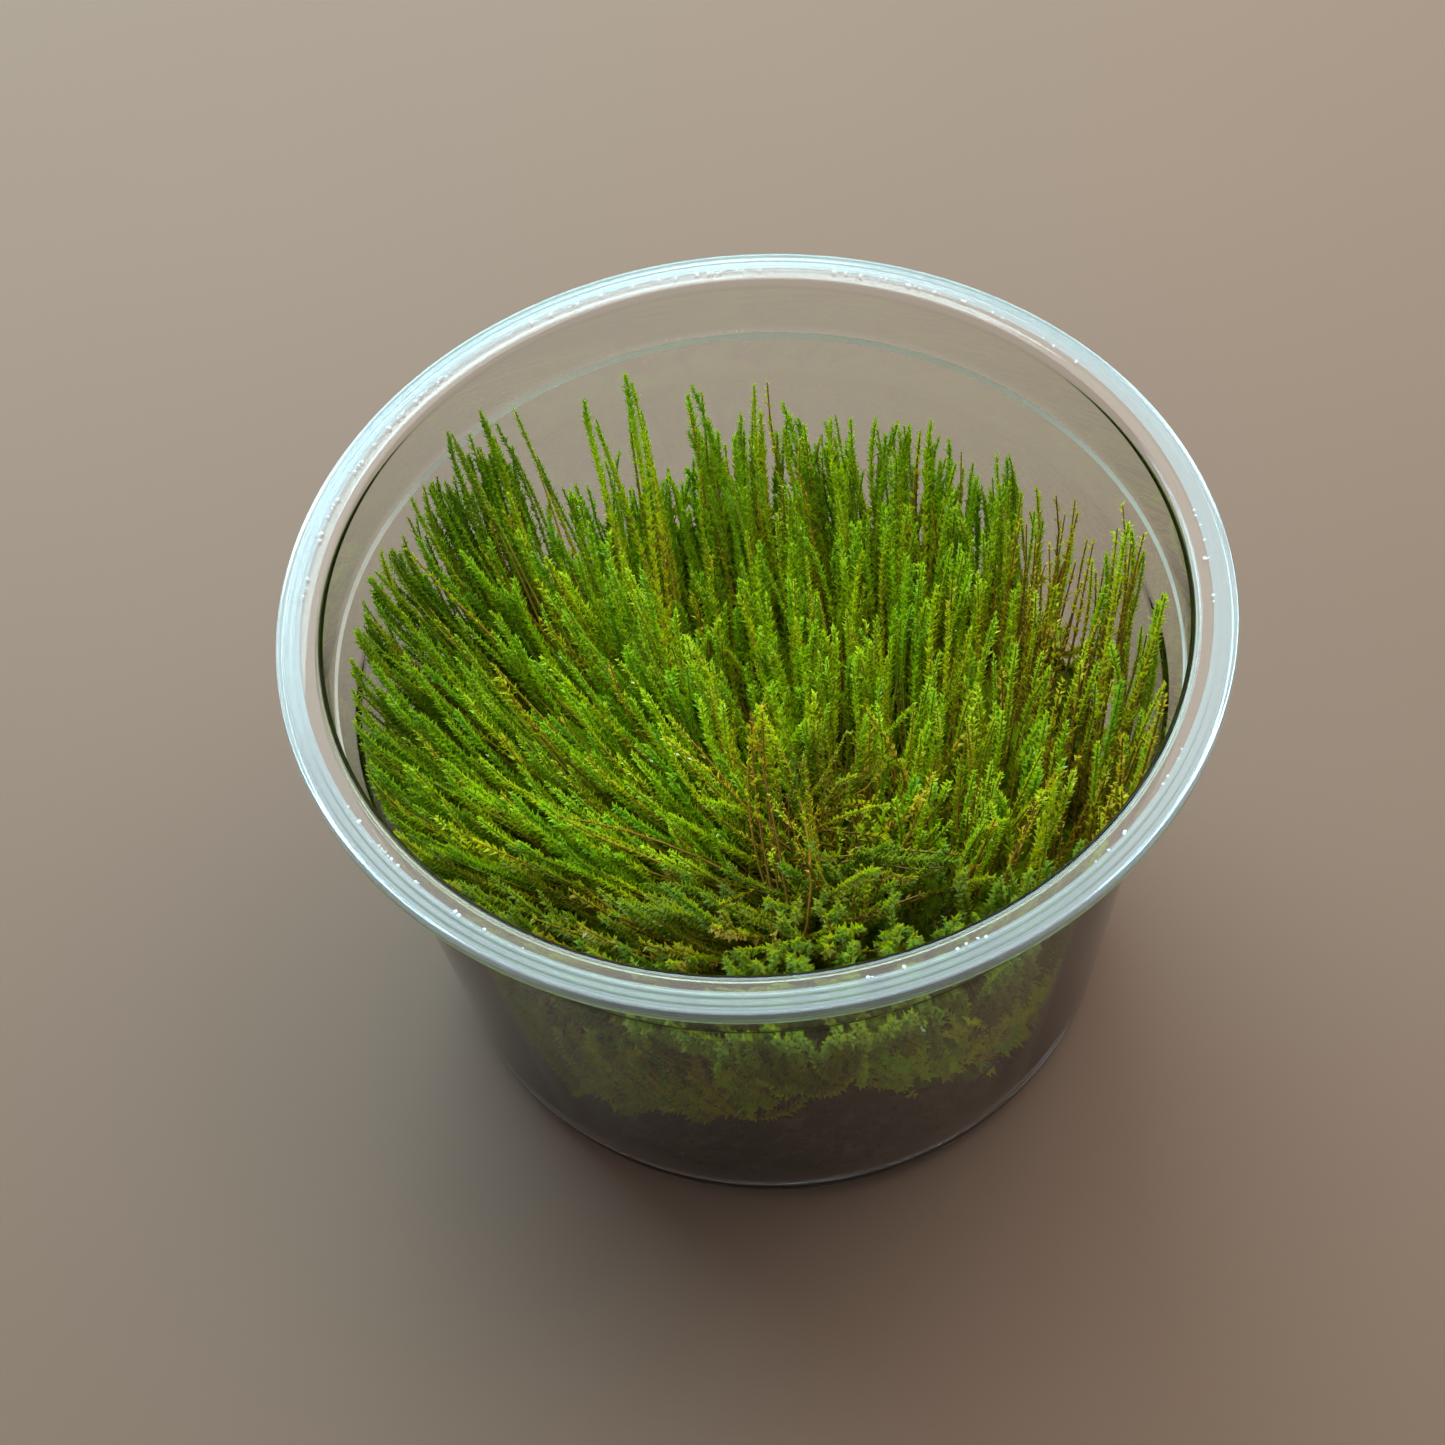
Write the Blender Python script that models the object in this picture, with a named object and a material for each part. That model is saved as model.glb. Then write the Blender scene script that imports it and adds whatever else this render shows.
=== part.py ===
# Moss clump growing in a clear plastic cup.
# The numbers below are millimetres and degrees; add_object turns them into metres.
import math

import bpy

MM = 0.001

# Cup: turned shell, open at the top.
RIM_RADIUS = 40.0
CUP_HEIGHT = 50.0
RIM_RIDGES = 4
RIDGE_DEPTH = 0.14
LIP_BOTTOM = 48.5
LAND_INNER_RADIUS = 36.6
LAND_OUTER_RADIUS = 37.9
NECK_RADIUS = 36.1
NECK_THICKNESS = 0.85
LEDGE_HEIGHT = 43.2
WALL_TOP_RADIUS = 35.35
WALL_TOP_HEIGHT = 42.9
WALL_FOOT_RADIUS = 30.45
WALL_FOOT_HEIGHT = 4.1
WALL_THICKNESS = 0.8
FLOOR_TOP = 1.5
FLOOR_UNDERSIDE = 0.6
INNER_CORNER = 2.6
OUTER_CORNER = 3.3
FOOT_RING_INNER = 26.4
CUP_SEGMENTS = 96

# Clearance kept between any two pieces, and to the cup.
CLEARANCE = 0.35

# Soil lump: higher at the front middle, lower towards the sides.
SECTORS = 40
SOIL_RINGS = 7
SOIL_LOW = 7.5
SOIL_RISE = 12.5
SOIL_PEAK_X = 0.0
SOIL_PEAK_Y = -24.0
SOIL_SPREAD = 17.0
CRUMB = 0.9  # roughness of the soil's side
TANGLE = 1.3  # roughness of the mat

# Moss: shoots rise from a mat and fan out from a parting near the front. They stand on a hexagon lattice
# that is laid out at LATTICE_HEIGHT, and follow growth lines up and down from there.
MAT_TOP = 24.0
TUFT_FOOT = MAT_TOP + CLEARANCE
PARTING_X = 4.0
PARTING_Y = -12.0
SHOOT_PITCH = 2.9
LATTICE_HEIGHT = 33.0
GROWTH_SPAN = 20.0
SWAY = 1.1  # how far growth lines wander sideways
LOOSENESS = 0.8  # how far lattice points are off their regular places
CELL_GAP = 0.2  # share by which a bank's edge is drawn in from its neighbour
WALL_CROWDING = 0.9  # shoots crowd up beyond this share of the way to the wall
OUTERMOST_SHARE = 0.975

# Shoot form.
PARTING_TIP = 28.0  # tip height at the parting
VALLEY_SHARE = 0.25  # where shoots run together, as a share of the bank's height
TIP_LONGEST = 0.8  # most that a tip stands over its bank
TIP_SPREAD = 0.3  # from the longest tip to the shortest, as a share of the bank's height
WAIST_HEIGHT = 0.5
WAIST_INSET = 0.42

# Tip heights at the wall, by direction in degrees from the cup's middle.
SKYLINE = ((-180, 43.5), (-150, 41.0), (-125, 38.0), (-90, 34.5), (-60, 34.5), (-25, 38.0), (5, 40.5),
           (24, 38.5), (50, 36.0), (75, 36.5), (94, 35.5), (101, 31.0), (119, 30.5), (125, 43.0), (138, 44.5),
           (155, 44.0), (180, 43.5))
# Single shoots that stand out above the rest: x, y and height of the tip.
TALL_SHOOTS = (
    (-25.4, 22.8, 47.5), (-23.5, 24.6, 45.4), (-21.0, 26.8, 47.0), (-13.5, 30.7, 42.0), (-8.7, 32.4, 43.0),
    (-4.2, 33.2, 39.8), (-2.4, 31.5, 38.6), (2.8, 33.4, 39.4), (16.4, 29.2, 37.6), (25.4, 21.9, 38.4),
    (30.1, 14.7, 41.5), (32.7, 9.6, 46.5), (33.6, 5.2, 46.5), (35.0, -1.0, 45.5), (34.6, -7.5, 43.5),
)
# Bare gaps between the banks: direction from the parting, where each starts and ends, half its width.
PARTINGS = ((58, 7, 22, 1.3), (-14, 9, 18, 1.3), (188, 13, 21, 1.1), (121, 31, 60, 1.5))
# Dark hollows round the parting, where the shoots stay low: place and radius.
HOLLOWS = ((5.5, -5.0, 3.6), (-4.0, -15.5, 2.4), (13.0, -19.0, 2.6), (0.8, -7.5, 1.8))
HOLLOW_SHARE = 0.3  # what is left of a shoot's height there
# Banks: the directions each one lies between, and its colour.
TUFTS = (
    ("tuft_right", -14, 58, (0.085, 0.120, 0.008)),
    ("tuft_back", 58, 121, (0.070, 0.140, 0.008)),
    ("tuft_left", 121, 188, (0.062, 0.130, 0.006)),
    ("tuft_front", 188, 346, (0.055, 0.100, 0.006)),
)


def clear_scene():
    for obj in list(bpy.data.objects):
        bpy.data.objects.remove(obj)


def make_material(name, colour, roughness, alpha=1.0):
    material = bpy.data.materials.new(name)
    material.use_nodes = True
    shader = material.node_tree.nodes["Principled BSDF"]
    shader.inputs["Base Color"].default_value = (*colour, 1.0)
    shader.inputs["Roughness"].default_value = roughness
    shader.inputs["Metallic"].default_value = 0.0
    shader.inputs["Alpha"].default_value = alpha
    return material


def add_object(name, points, faces, material, smooth=False):
    mesh = bpy.data.meshes.new(name)
    mesh.from_pydata([(x * MM, y * MM, z * MM) for x, y, z in points], [], faces)
    mesh.materials.append(material)
    mesh.polygons.foreach_set("use_smooth", [smooth] * len(mesh.polygons))
    mesh.update()
    obj = bpy.data.objects.new(name, mesh)
    bpy.context.scene.collection.objects.link(obj)
    return obj


def scatter(x, y, kind):
    """A steady pseudo-random number from 0 to 1 for a place."""
    value = math.sin(x * 12.9898 + y * 78.233 + kind * 37.719) * 43758.5453
    return value - math.floor(value)


def wall_inside(height):
    """Inside radius of the tapered side wall at a height."""
    share = (min(height, WALL_TOP_HEIGHT) - WALL_FOOT_HEIGHT) / (WALL_TOP_HEIGHT - WALL_FOOT_HEIGHT)
    radius = WALL_FOOT_RADIUS + share * (WALL_TOP_RADIUS - WALL_FOOT_RADIUS)
    if height >= WALL_FOOT_HEIGHT:
        return radius
    drop = min(WALL_FOOT_HEIGHT - height, INNER_CORNER)
    return WALL_FOOT_RADIUS - INNER_CORNER + math.sqrt(INNER_CORNER ** 2 - drop ** 2)


def arc(centre_r, centre_z, radius, start, end, steps):
    """Points on an arc, angles in degrees from the outward direction."""
    angles = [math.radians(start + (end - start) * i / steps) for i in range(steps + 1)]
    return [(centre_r + radius * math.cos(a), centre_z + radius * math.sin(a)) for a in angles]


def cup_inside():
    """From the middle of the floor out and up to the rim's flat land."""
    profile = [(0.0, FLOOR_TOP)]
    corner_r = WALL_FOOT_RADIUS - INNER_CORNER
    profile += arc(corner_r, WALL_FOOT_HEIGHT, INNER_CORNER, -90, 0, 5)
    profile.append((WALL_TOP_RADIUS, WALL_TOP_HEIGHT))
    profile += [(WALL_TOP_RADIUS + 0.15, LEDGE_HEIGHT), (NECK_RADIUS - 0.15, LEDGE_HEIGHT + 0.15)]
    profile.append((NECK_RADIUS, LEDGE_HEIGHT + 0.45))
    profile += arc(LAND_INNER_RADIUS, CUP_HEIGHT - 0.5, 0.5, 180, 90, 3)
    return profile


def rim_ridges():
    """Concentric ridges stepping down to the rim's outer edge."""
    first = LAND_OUTER_RADIUS + 0.3
    pitch = (RIM_RADIUS - 0.1 - first) / RIM_RIDGES
    profile = [(LAND_OUTER_RADIUS, CUP_HEIGHT), (LAND_OUTER_RADIUS + 0.12, CUP_HEIGHT - 0.2)]
    for ridge in range(RIM_RIDGES):
        crest_r = first + pitch * (ridge + 0.4)
        crest_z = CUP_HEIGHT - 0.03 - 0.13 * ridge
        profile.append((crest_r, crest_z))
        profile.append((first + pitch * (ridge + 0.95), crest_z - RIDGE_DEPTH))
    return profile


def cup_outside():
    """From the rim's outer edge down the outside and in to the middle of the underside."""
    lip = [(RIM_RADIUS, CUP_HEIGHT - 0.8), (RIM_RADIUS, LIP_BOTTOM + 0.25), (RIM_RADIUS - 0.2, LIP_BOTTOM)]
    lip += [(RIM_RADIUS - 0.5, LIP_BOTTOM), (RIM_RADIUS - 0.7, LIP_BOTTOM + 0.25)]
    lip.append((RIM_RADIUS - 0.9, CUP_HEIGHT - 0.9))
    neck_outside = NECK_RADIUS + NECK_THICKNESS
    neck = [(neck_outside + 0.4, CUP_HEIGHT - 0.9), (neck_outside, CUP_HEIGHT - 1.3)]
    neck += [(neck_outside, LEDGE_HEIGHT + 0.2), (neck_outside - 0.25, LEDGE_HEIGHT - 0.35)]
    neck.append((WALL_TOP_RADIUS + WALL_THICKNESS, LEDGE_HEIGHT - 0.75))
    foot_r = WALL_FOOT_RADIUS + WALL_THICKNESS + 0.05
    corner = arc(foot_r - OUTER_CORNER, OUTER_CORNER, OUTER_CORNER, 0, -90, 7)
    foot = [(FOOT_RING_INNER, 0.0), (FOOT_RING_INNER - 0.5, FLOOR_UNDERSIDE), (0.0, FLOOR_UNDERSIDE)]
    return lip + neck + corner + foot


def revolve(profile, segments):
    """Turn a closed profile that starts and ends on the axis, inside first, outside last."""
    points = [(0.0, 0.0, profile[0][1])]
    for radius, height in profile[1:-1]:
        for step in range(segments):
            angle = 2 * math.pi * step / segments
            points.append((radius * math.cos(angle), radius * math.sin(angle), height))
    points.append((0.0, 0.0, profile[-1][1]))
    faces = []
    rings = len(profile) - 2
    for step in range(segments):
        after = (step + 1) % segments
        faces.append((0, 1 + step, 1 + after))
        for ring in range(rings - 1):
            low = 1 + ring * segments
            high = low + segments
            faces.append((low + step, high + step, high + after, low + after))
        last = 1 + (rings - 1) * segments
        faces.append((last + after, last + step, len(points) - 1))
    return points, faces


def build_cup():
    material = make_material("clear_plastic", (0.86, 0.92, 0.93), 0.08, 0.3)
    points, faces = revolve(cup_inside() + rim_ridges() + cup_outside(), CUP_SEGMENTS)
    return add_object("cup", points, faces, material, smooth=True)


def soil_height(x, y):
    away = math.hypot(x - SOIL_PEAK_X, y - SOIL_PEAK_Y) / SOIL_SPREAD
    lumps = 0.7 * math.sin(0.55 * x + 1.3) * math.cos(0.48 * y - 0.4) + 0.4 * math.sin(1.1 * x - 0.9 * y)
    return SOIL_LOW + SOIL_RISE / (1.0 + away ** 4) + lumps


def soil_reach(angle):
    """How far the soil lump spreads: to the wall at the front, short of it at the left and back."""
    toward_front = max(0.0, math.cos(angle + math.radians(80)))
    reach = 23.5 + 8.0 * toward_front ** 1.5 + 0.8 * math.sin(5 * angle) + 0.5 * math.sin(11 * angle + 2)
    return reach


def soil_edge(angle, height):
    return min(soil_reach(angle), wall_inside(height) - CLEARANCE - 0.5)


def soil_rim(angle):
    """Radius and height of the soil's upper edge."""
    reach = soil_edge(angle, SOIL_LOW + SOIL_RISE)
    return reach, soil_height(reach * math.cos(angle), reach * math.sin(angle))


def ring(place_of):
    """One ring of points; place_of gives the radius and height at an angle."""
    points = []
    for sector in range(SECTORS):
        angle = 2 * math.pi * sector / SECTORS
        radius, height = place_of(angle)
        points.append((radius * math.cos(angle), radius * math.sin(angle), height))
    return points


def soil_top_ring(share):
    """A ring of the soil's top, at a share of the way from the middle to its edge."""
    def place(angle):
        radius = share * soil_rim(angle)[0]
        return radius, soil_height(radius * math.cos(angle), radius * math.sin(angle))
    return ring(place)


def close_rings(rings, bottom_centre, top_centre, turn):
    """Closed skin over rings listed from the bottom's innermost, out, up and in to the top's innermost.

    turn picks which way the quads are split, so that facing skins can be split alike.
    """
    points = [bottom_centre]
    for one in rings:
        points += one
    points.append(top_centre)
    faces = []
    last = 1 + (len(rings) - 1) * SECTORS
    for sector in range(SECTORS):
        after = (sector + 1) % SECTORS
        faces.append((0, 1 + after, 1 + sector))
        for index in range(len(rings) - 1):
            low = 1 + index * SECTORS
            high = low + SECTORS
            if turn:
                faces.append((low + sector, low + after, high + sector))
                faces.append((low + after, high + after, high + sector))
            else:
                faces.append((low + sector, low + after, high + after))
                faces.append((low + sector, high + after, high + sector))
        faces.append((last + sector, last + after, len(points) - 1))
    return points, faces


def build_substrate():
    material = make_material("dark_soil", (0.020, 0.016, 0.012), 0.95)
    low = FLOOR_TOP + CLEARANCE
    rings = [ring(lambda a: (soil_edge(a, low) - 1.2, low))]
    for height in (low + 1.6, 5.5):
        rings.append(ring(lambda a: (soil_edge(a, height) - CRUMB * scatter(a, height, 5), height)))
    rings += [soil_top_ring(share / SOIL_RINGS) for share in range(SOIL_RINGS, 0, -1)]
    points, faces = close_rings(rings, (0.0, 0.0, low), (0.0, 0.0, soil_height(0.0, 0.0)), True)
    return add_object("substrate", points, faces, material)


def mat_skirt(angle):
    """The mat's lowest edge, out at the wall beyond the soil."""
    height = soil_rim(angle)[1]
    radius = wall_inside(height) - CLEARANCE - 0.05
    return radius, soil_height(radius * math.cos(angle), radius * math.sin(angle)) + CLEARANCE


def mat_side(angle, share):
    foot = mat_skirt(angle)[1]
    height = foot + share * (MAT_TOP - 0.6 - foot)
    return wall_inside(height) - CLEARANCE - 0.05 - TANGLE * scatter(angle, share, 6), height


def mat_top(x, y):
    return MAT_TOP - TANGLE * scatter(x, y, 7)


def mat_top_ring(share):
    def place(angle):
        radius = share * (wall_inside(MAT_TOP) - CLEARANCE - 0.6)
        return radius, mat_top(radius * math.cos(angle), radius * math.sin(angle))
    return ring(place)


def build_mat():
    material = make_material("old_moss", (0.040, 0.050, 0.010), 0.9)
    rings = []
    for share in range(1, SOIL_RINGS + 1):
        rings.append([(x, y, z + CLEARANCE) for x, y, z in soil_top_ring(share / SOIL_RINGS)])
    rings.append(ring(mat_skirt))
    for share in (0.25, 0.5, 0.75, 1.0):
        rings.append(ring(lambda a: mat_side(a, share)))
    rings += [mat_top_ring(share / SOIL_RINGS) for share in range(SOIL_RINGS, 0, -1)]
    middle = soil_height(0.0, 0.0) + CLEARANCE
    points, faces = close_rings(rings, (0.0, 0.0, middle), (0.0, 0.0, mat_top(0.0, 0.0)), False)
    return add_object("moss_mat", points, faces, material)


def wall_distance(angle, height):
    """Distance from the parting to the wall's inside, less the clearance, along an angle."""
    along = PARTING_X * math.cos(angle) + PARTING_Y * math.sin(angle)
    radius = wall_inside(height) - CLEARANCE - 0.05
    return math.sqrt(along ** 2 - PARTING_X ** 2 - PARTING_Y ** 2 + radius ** 2) - along


def fan(angle):
    """How strongly the shoots lean outwards: most on the left, least at the front."""
    left = max(0.0, math.cos(angle - math.radians(172)))
    return 1.4 + 2.2 * left ** 2


def share_and_angle(x, y):
    """Share of the way from the parting to the wall, and direction, of a place in the lattice."""
    angle = math.atan2(y - PARTING_Y, x - PARTING_X)
    share = math.hypot(x - PARTING_X, y - PARTING_Y) / wall_distance(angle, LATTICE_HEIGHT)
    if share > WALL_CROWDING:
        room = 1.0 - WALL_CROWDING
        share = 1.0 - room * math.exp((WALL_CROWDING - share) / room)
    return share, angle


def grow(x, y, height):
    """Where the growth line through a lattice place is at a height: lines spread out and upwards."""
    share, angle = share_and_angle(x, y)
    spread = fan(angle) ** ((height - LATTICE_HEIGHT) / GROWTH_SPAN)
    reach = (1.0 - (1.0 - share) ** spread) * wall_distance(angle, height)
    sway = SWAY * (height - MAT_TOP) / GROWTH_SPAN * 4.0 * share * (1.0 - share)
    grown_x = PARTING_X + reach * math.cos(angle) + sway * math.sin(0.23 * y + 0.5)
    grown_y = PARTING_Y + reach * math.sin(angle) + sway * math.sin(0.19 * x - 1.0)
    return (grown_x, grown_y, height)


def skyline(degrees):
    for (start, low), (end, high) in zip(SKYLINE, SKYLINE[1:]):
        if start <= degrees <= end:
            return low + (high - low) * (degrees - start) / (end - start)
    return SKYLINE[0][1]


def bank_height(x, y):
    """Height of the bank's tips: low at the parting, tall towards the wall."""
    share = share_and_angle(x, y)[0]
    at_wall = skyline(math.degrees(math.atan2(y, x)))
    return PARTING_TIP + (at_wall - PARTING_TIP) * min(1.0, 1.2 * share) ** 0.8


def valley_height(x, y):
    """Height where neighbouring shoots run together."""
    foot = TUFT_FOOT + 0.8
    return foot + VALLEY_SHARE * (bank_height(x, y) - foot) + 1.6 * (scatter(x, y, 1) - 0.5)


def lattice_spot(point):
    """Lattice points are counted in half pitches across and half hexagon sides up."""
    return point[0] * SHOOT_PITCH / 2, point[1] * SHOOT_PITCH / math.sqrt(12)


def loosened(point):
    """A lattice point nudged off its regular place."""
    x, y = lattice_spot(point)
    return (x + LOOSENESS * (scatter(x, y, 2) - 0.5), y + LOOSENESS * (scatter(x, y, 3) - 0.5))


def cell_corners(cell):
    across, up = cell
    steps = ((1, 1), (0, 2), (-1, 1), (-1, -1), (0, -2), (1, -1))
    return [(across + step_across, up + step_up) for step_across, step_up in steps]


def in_parting(x, y):
    """True in the bare gaps between the banks."""
    for degrees, start, end, half_width in PARTINGS:
        angle = math.radians(degrees)
        along = (x - PARTING_X) * math.cos(angle) + (y - PARTING_Y) * math.sin(angle)
        across = (y - PARTING_Y) * math.cos(angle) - (x - PARTING_X) * math.sin(angle)
        if start < along < end and abs(across) < half_width:
            return True
    return False


def in_hollow(x, y):
    return any(math.hypot(x - middle_x, y - middle_y) < radius for middle_x, middle_y, radius in HOLLOWS)


def shoot_cells():
    """Lattice cells that carry a shoot."""
    cells = []
    reach = int(RIM_RADIUS / SHOOT_PITCH) + 3
    for row in range(-reach, reach + 1):
        for column in range(-reach, reach + 1):
            cell = (2 * column + row % 2, 3 * row)
            x, y = lattice_spot(cell)
            if share_and_angle(x, y)[0] < OUTERMOST_SHARE and not in_parting(x, y):
                cells.append(cell)
    return cells


def tip_heights(cells):
    """Uneven tips, with the few tall shoots that stand out on the skyline."""
    tips = {}
    for cell in cells:
        x, y = lattice_spot(cell)
        tallest = bank_height(x, y)
        tips[cell] = tallest + TIP_LONGEST - TIP_SPREAD * (tallest - TUFT_FOOT) * scatter(x, y, 4)
        if in_hollow(x, y):
            tips[cell] = TUFT_FOOT + HOLLOW_SHARE * (tips[cell] - TUFT_FOOT)
    for tall_x, tall_y, height in TALL_SHOOTS:
        def distance(cell):
            x, y, z = grow(*loosened(cell), height)
            return math.hypot(x - tall_x, y - tall_y)
        tips[min(cells, key=distance)] = height
    return tips


def in_sector(cell, start, end):
    degrees = math.degrees(share_and_angle(*lattice_spot(cell))[1])
    return (degrees - start) % 360 < end - start


def tuft_shell(tips):
    """One closed spiky skin over the given shoots, flat underneath."""
    owners = {}
    for cell in tips:
        for corner in cell_corners(cell):
            owners.setdefault(corner, []).append(lattice_spot(cell))
    points = []
    valley = {}
    foot = {}
    for corner, users in owners.items():
        x, y = loosened(corner)
        if len(users) < 3:
            middle_x = sum(spot[0] for spot in users) / len(users)
            middle_y = sum(spot[1] for spot in users) / len(users)
            x += CELL_GAP * (middle_x - x)
            y += CELL_GAP * (middle_y - y)
            foot[corner] = len(points)
            points.append(grow(x, y, TUFT_FOOT))
        valley[corner] = len(points)
        points.append(grow(x, y, valley_height(x, y)))
    faces = []
    edges = set()
    for cell, tip in tips.items():
        corners = cell_corners(cell)
        low = sum(points[valley[corner]][2] for corner in corners) / 6
        waist_height = low + WAIST_HEIGHT * (tip - low)
        middle_x, middle_y = loosened(cell)
        waist = []
        for corner in corners[::2]:
            x, y = loosened(corner)
            x += WAIST_INSET * (middle_x - x)
            y += WAIST_INSET * (middle_y - y)
            waist.append(len(points))
            points.append(grow(x, y, waist_height))
        apex = len(points)
        points.append(grow(middle_x, middle_y, tip))
        for step in range(3):
            here = waist[step]
            after = waist[(step + 1) % 3]
            first = valley[corners[2 * step]]
            second = valley[corners[2 * step + 1]]
            third = valley[corners[(2 * step + 2) % 6]]
            faces += [(first, second, here), (second, after, here)]
            faces += [(second, third, after), (here, after, apex)]
        edges.update(zip(corners, corners[1:] + corners[:1]))
    next_on_rim = {one: two for one, two in edges if (two, one) not in edges}
    for one, two in sorted(next_on_rim.items()):
        faces.append((foot[one], foot[two], valley[two]))
        faces.append((foot[one], valley[two], valley[one]))
    rim = [min(next_on_rim)]
    while next_on_rim[rim[-1]] != rim[0]:
        rim.append(next_on_rim[rim[-1]])
    faces.append([foot[corner] for corner in reversed(rim)])
    return points, faces


def build_tufts():
    tips = tip_heights(shoot_cells())
    for name, start, end, colour in TUFTS:
        mine = {cell: tip for cell, tip in tips.items() if in_sector(cell, start, end)}
        points, faces = tuft_shell(mine)
        add_object(name, points, faces, make_material(name + "_green", colour, 0.75))


def main():
    clear_scene()
    build_cup()
    build_substrate()
    build_mat()
    build_tufts()


main()
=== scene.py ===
import math

import bpy
import numpy as np
from mathutils import Matrix, Vector


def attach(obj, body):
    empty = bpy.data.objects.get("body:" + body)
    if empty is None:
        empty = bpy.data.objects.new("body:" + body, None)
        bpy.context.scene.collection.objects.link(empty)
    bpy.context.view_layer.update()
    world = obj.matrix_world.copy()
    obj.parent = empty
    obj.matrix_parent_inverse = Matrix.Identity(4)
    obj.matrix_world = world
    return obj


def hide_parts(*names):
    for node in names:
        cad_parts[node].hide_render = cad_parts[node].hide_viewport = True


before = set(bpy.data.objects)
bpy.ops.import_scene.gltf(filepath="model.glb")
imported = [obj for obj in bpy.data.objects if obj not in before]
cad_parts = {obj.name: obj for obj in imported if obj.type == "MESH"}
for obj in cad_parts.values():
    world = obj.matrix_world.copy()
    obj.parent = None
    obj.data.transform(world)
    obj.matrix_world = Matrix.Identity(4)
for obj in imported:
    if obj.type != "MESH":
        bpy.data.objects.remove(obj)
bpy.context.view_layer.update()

# Sizes are in millimetres and angles in degrees until a mesh is made.
mm = 0.001
print("frame loaded:", ", ".join(sorted(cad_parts)))


def scatter(x, y, kind):
    # steady pseudo-random number from 0 to 1 for a place
    value = np.sin(x * 12.9898 + y * 78.233 + kind * 37.719) * 43758.5453
    return value - np.floor(value)


def lerp(low, high, share):
    return low + (high - low) * share


def makeObject(name, points, faces=(), edges=(), material=None, smooth=False):
    mesh = bpy.data.meshes.new(name)
    mesh.from_pydata((np.asarray(points) * mm).tolist(), edges, faces)
    if material:
        mesh.materials.append(material)
    mesh.polygons.foreach_set("use_smooth", [smooth] * len(mesh.polygons))
    mesh.update()
    obj = bpy.data.objects.new(name, mesh)
    bpy.context.scene.collection.objects.link(obj)
    return obj


def fullCircle(sectors):
    return 2 * np.pi * np.arange(sectors) / sectors


def stackRings(rings, bottom, top):
    # closed skin over rings of (radius, height) pairs, from the axis round to the axis again
    sectors = len(rings[0][0])
    angle = fullCircle(sectors)
    points = [(0.0, 0.0, bottom)]
    for radius, height in rings:
        points += list(zip(radius * np.cos(angle), radius * np.sin(angle), height * np.ones(sectors)))
    points.append((0.0, 0.0, top))
    faces = []
    last = 1 + (len(rings) - 1) * sectors
    for i in range(sectors):
        j = (i + 1) % sectors
        faces.append((0, 1 + j, 1 + i))
        for ring in range(len(rings) - 1):
            low = 1 + ring * sectors
            faces.append((low + i, low + j, low + sectors + j, low + sectors + i))
        faces.append((last + i, last + j, len(points) - 1))
    return points, faces


def addNode(tree, kind, inputs=None, **settings):
    # one node: settings are its properties, inputs go by socket name or number
    node = tree.nodes.new(kind)
    for key, value in settings.items():
        setattr(node, key, value)
    for key, value in (inputs or {}).items():
        if isinstance(value, bpy.types.NodeSocket):
            tree.links.new(value, node.inputs[key])
        else:
            node.inputs[key].default_value = value
    return node


def made(tree, kind, inputs=None, **settings):
    return addNode(tree, kind, inputs, **settings).outputs[0]


def calc(tree, operation, first, second=0.0):
    return made(tree, "ShaderNodeMath", {0: first, 1: second}, operation=operation)


def between(tree, value, low, high, toLow, toHigh):
    inputs = {"Value": value, "From Min": low, "From Max": high, "To Min": toLow, "To Max": toHigh}
    return made(tree, "ShaderNodeMapRange", inputs)


def chance(tree, low, high, seed):
    # a random number for each point, leaf or crumb
    inputs = {2: low, 3: high, "Seed": seed}
    return addNode(tree, "FunctionNodeRandomValue", inputs, data_type="FLOAT").outputs[1]


def newTree(name, **sockets):
    # geometry tree with inputs listed by kind, its input node and its output node
    tree = bpy.data.node_groups.new(name, "GeometryNodeTree")
    tree.is_modifier = True
    tree.interface.new_socket("Geometry", in_out="OUTPUT", socket_type="NodeSocketGeometry")
    for kind, names in {"Geometry": "Geometry", **sockets}.items():
        for socketName in names.split(", "):
            tree.interface.new_socket(socketName, in_out="INPUT", socket_type="NodeSocket" + kind)
    return tree, tree.nodes.new("NodeGroupInput"), tree.nodes.new("NodeGroupOutput")


def grownMesh(obj, tree, values):
    # runs the tree on the object and leaves the result as its plain mesh
    modifier = obj.modifiers.new(tree.name, "NODES")
    modifier.node_group = tree
    for item in tree.interface.items_tree:
        if item.in_out == "INPUT" and item.name in values:
            modifier[item.identifier] = values[item.name]
    depsgraph = bpy.context.evaluated_depsgraph_get()
    mesh = bpy.data.meshes.new_from_object(obj.evaluated_get(depsgraph))
    obj.modifiers.remove(modifier)
    obj.data = mesh
    mesh.name = obj.name


def newMaterial(name, values):
    # principled material with these values on the shader's own sockets
    material = bpy.data.materials.new(name)
    material.use_nodes = True
    tree = material.node_tree
    shader = tree.nodes["Principled BSDF"]
    for key, value in values.items():
        shader.inputs[key].default_value = value
    return material, tree, shader


def ramp(tree, value, stops):
    node = addNode(tree, "ShaderNodeValToRGB", {"Fac": value})
    while len(node.color_ramp.elements) < len(stops):
        node.color_ramp.elements.new(0.5)
    for element, (place, colour) in zip(node.color_ramp.elements, stops):
        element.position = place
        element.color = (*colour, 1.0)
    return node.outputs["Color"]


def objectPlace(tree):
    return addNode(tree, "ShaderNodeTexCoord").outputs["Object"]


def noise(tree, scale, detail=3.0, roughness=0.5):
    inputs = {"Vector": objectPlace(tree), "Scale": scale, "Detail": detail, "Roughness": roughness}
    return addNode(tree, "ShaderNodeTexNoise", inputs).outputs["Fac"]


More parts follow.
